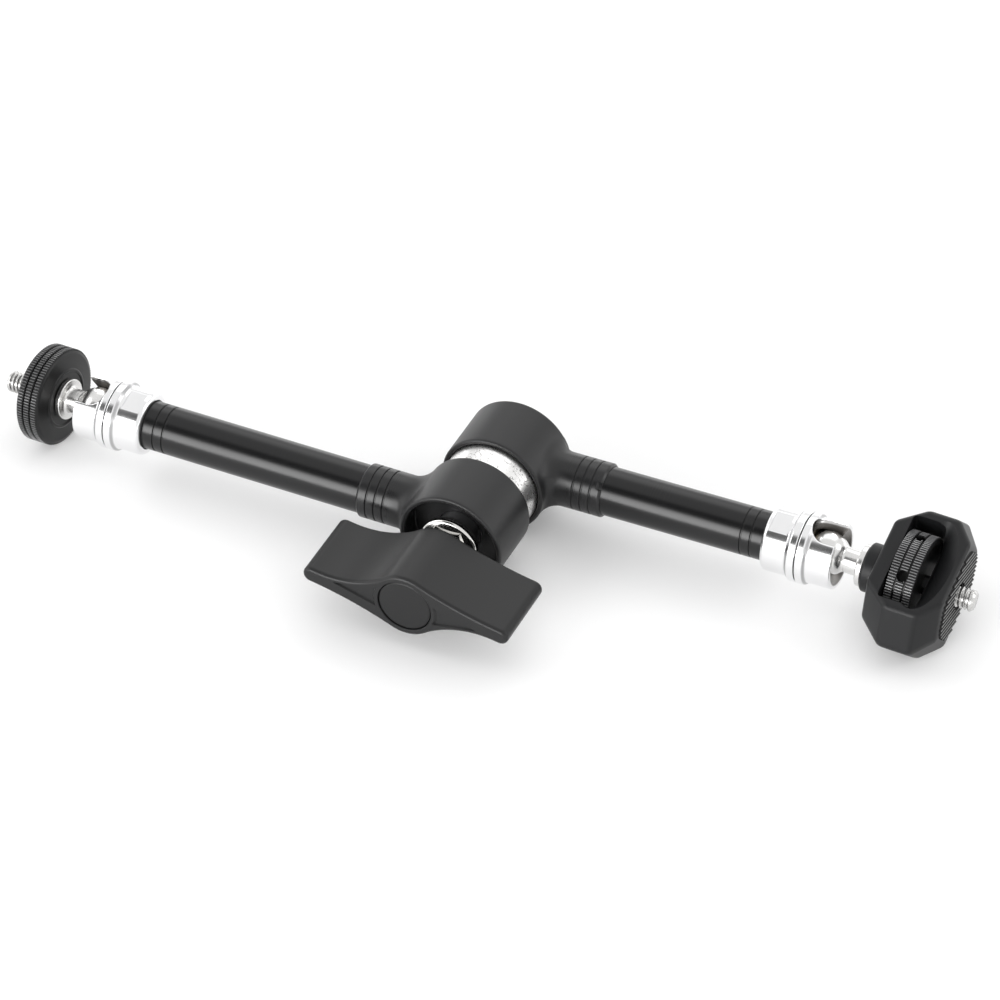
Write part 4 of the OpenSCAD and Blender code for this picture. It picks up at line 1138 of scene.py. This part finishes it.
def studio():
    s = stage
    half = s["floor"]
    floor = meshPiece("floor", [(-half, -half, 0), (half, -half, 0), (half, half, 0), (-half, half, 0)], [(0, 1, 2, 3)], False)
    floor.location = (0, 0, -0.00002)
    paint = Paint("floorWhite", (s["floorColour"],) * 3, 0.9, Specular_IOR_Level=0.1)
    rays = paint.tree.nodes.new("ShaderNodeLightPath")
    seen = paint.maths("MAXIMUM", Wire(paint, rays.outputs["Is Camera Ray"]),
        paint.maths("MAXIMUM", Wire(paint, rays.outputs["Is Glossy Ray"]), Wire(paint, rays.outputs["Is Transmission Ray"])))
    paint.set("Base Color", paint.mix(paint.noise(60, 2), (s["floorColour"],) * 3, (s["floorColour"] * 1.02,) * 3))
    lift = paint.mix(seen, (0.0, 0.0, 0.0), (s["floorLift"],) * 3)
    paint.set("Emission Color", lift)
    paint.inputs["Emission Strength"].default_value = 1.0
    floor.data.materials.append(paint.material)

    world = bpy.data.worlds.new("studio")
    world.use_nodes = True
    bpy.context.scene.world = world
    tree = world.node_tree
    tree.nodes.clear()
    sky = Shader(tree)
    toward = tree.nodes.new("ShaderNodeTexCoord").outputs["Generated"]
    split = tree.nodes.new("ShaderNodeSeparateXYZ")
    tree.links.new(toward, split.inputs[0])
    gap = sky.node("ShaderNodeVectorMath", {"operation": "DOT_PRODUCT"}, {0: Wire(sky, toward), 1: s["gapAt"]}, out="Value")
    dark = sky.window(gap, *s["gapEdge"]) * s["gapDark"]  # the opening between the studio's soft panels
    level = s["horizon"] - sky.window(Wire(sky, split.outputs[2]), *s["rise"]) * (s["horizon"] - s["dome"])
    panel = sky.node("ShaderNodeVectorMath", {"operation": "DOT_PRODUCT"}, {0: Wire(sky, toward), 1: s["panelAt"]}, out="Value")
    lit = level * (1 - dark) + sky.window(panel, *s["panelEdge"]) * s["panel"]
    glow = sky.node("ShaderNodeBackground", {}, {"Color": (1, 1, 1, 1), "Strength": lit})
    plain = sky.node("ShaderNodeBackground", {}, {"Color": (1, 1, 1, 1), "Strength": 1.0})
    seen = Wire(sky, tree.nodes.new("ShaderNodeLightPath").outputs["Is Camera Ray"])
    sky.node("ShaderNodeOutputWorld", {}, {"Surface": sky.node("ShaderNodeMixShader", {}, {0: seen, 1: glow, 2: plain})},
        out=None)


lamps = {
    "overhead": {"at": (-0.1, 0.8, 0.8), "size": (1.1, 0.6), "watts": 1.6},
    "left": {"at": (-0.95, -0.25, 0.6), "size": (0.5, 0.7), "watts": 1.6},
    "right": {"at": (0.9, 0.35, 0.55), "size": (0.4, 0.7), "watts": 1.6},
}


def lamp(name, at, size, watts):
    light = bpy.data.lights.new(name, "AREA")
    light.shape, light.size, light.size_y, light.energy = "RECTANGLE", size[0], size[1], watts
    piece = bpy.data.objects.new(name, light)
    piece.location = at
    piece.rotation_euler = (elbowAt - Vector(at)).to_track_quat("-Z", "Y").to_euler()
    bpy.context.scene.collection.objects.link(piece)


def camera():
    # the photograph's own view, fitted to the elbow, seams and wheels
    right = Vector((0.90664, 0.42190, 0))
    upward = Vector((-0.27228, 0.58512, 0.76386))
    back = Vector((0.32227, -0.69255, 0.64537))
    data = bpy.data.cameras.new("camera")
    data.lens, data.sensor_width = 172.56, 36
    piece = bpy.data.objects.new("camera", data)
    turn = Matrix((right, upward, back)).transposed().to_4x4()
    piece.matrix_world = Matrix.Translation(elbowAt + Vector((435.45, -914.03, 862.58)) * mm) @ turn
    bpy.context.scene.collection.objects.link(piece)
    bpy.context.scene.camera = piece


studio()
for name, settings in lamps.items():
    lamp(name, **settings)
camera()
bpy.context.scene.view_settings.view_transform = "Standard"
print("stage done")
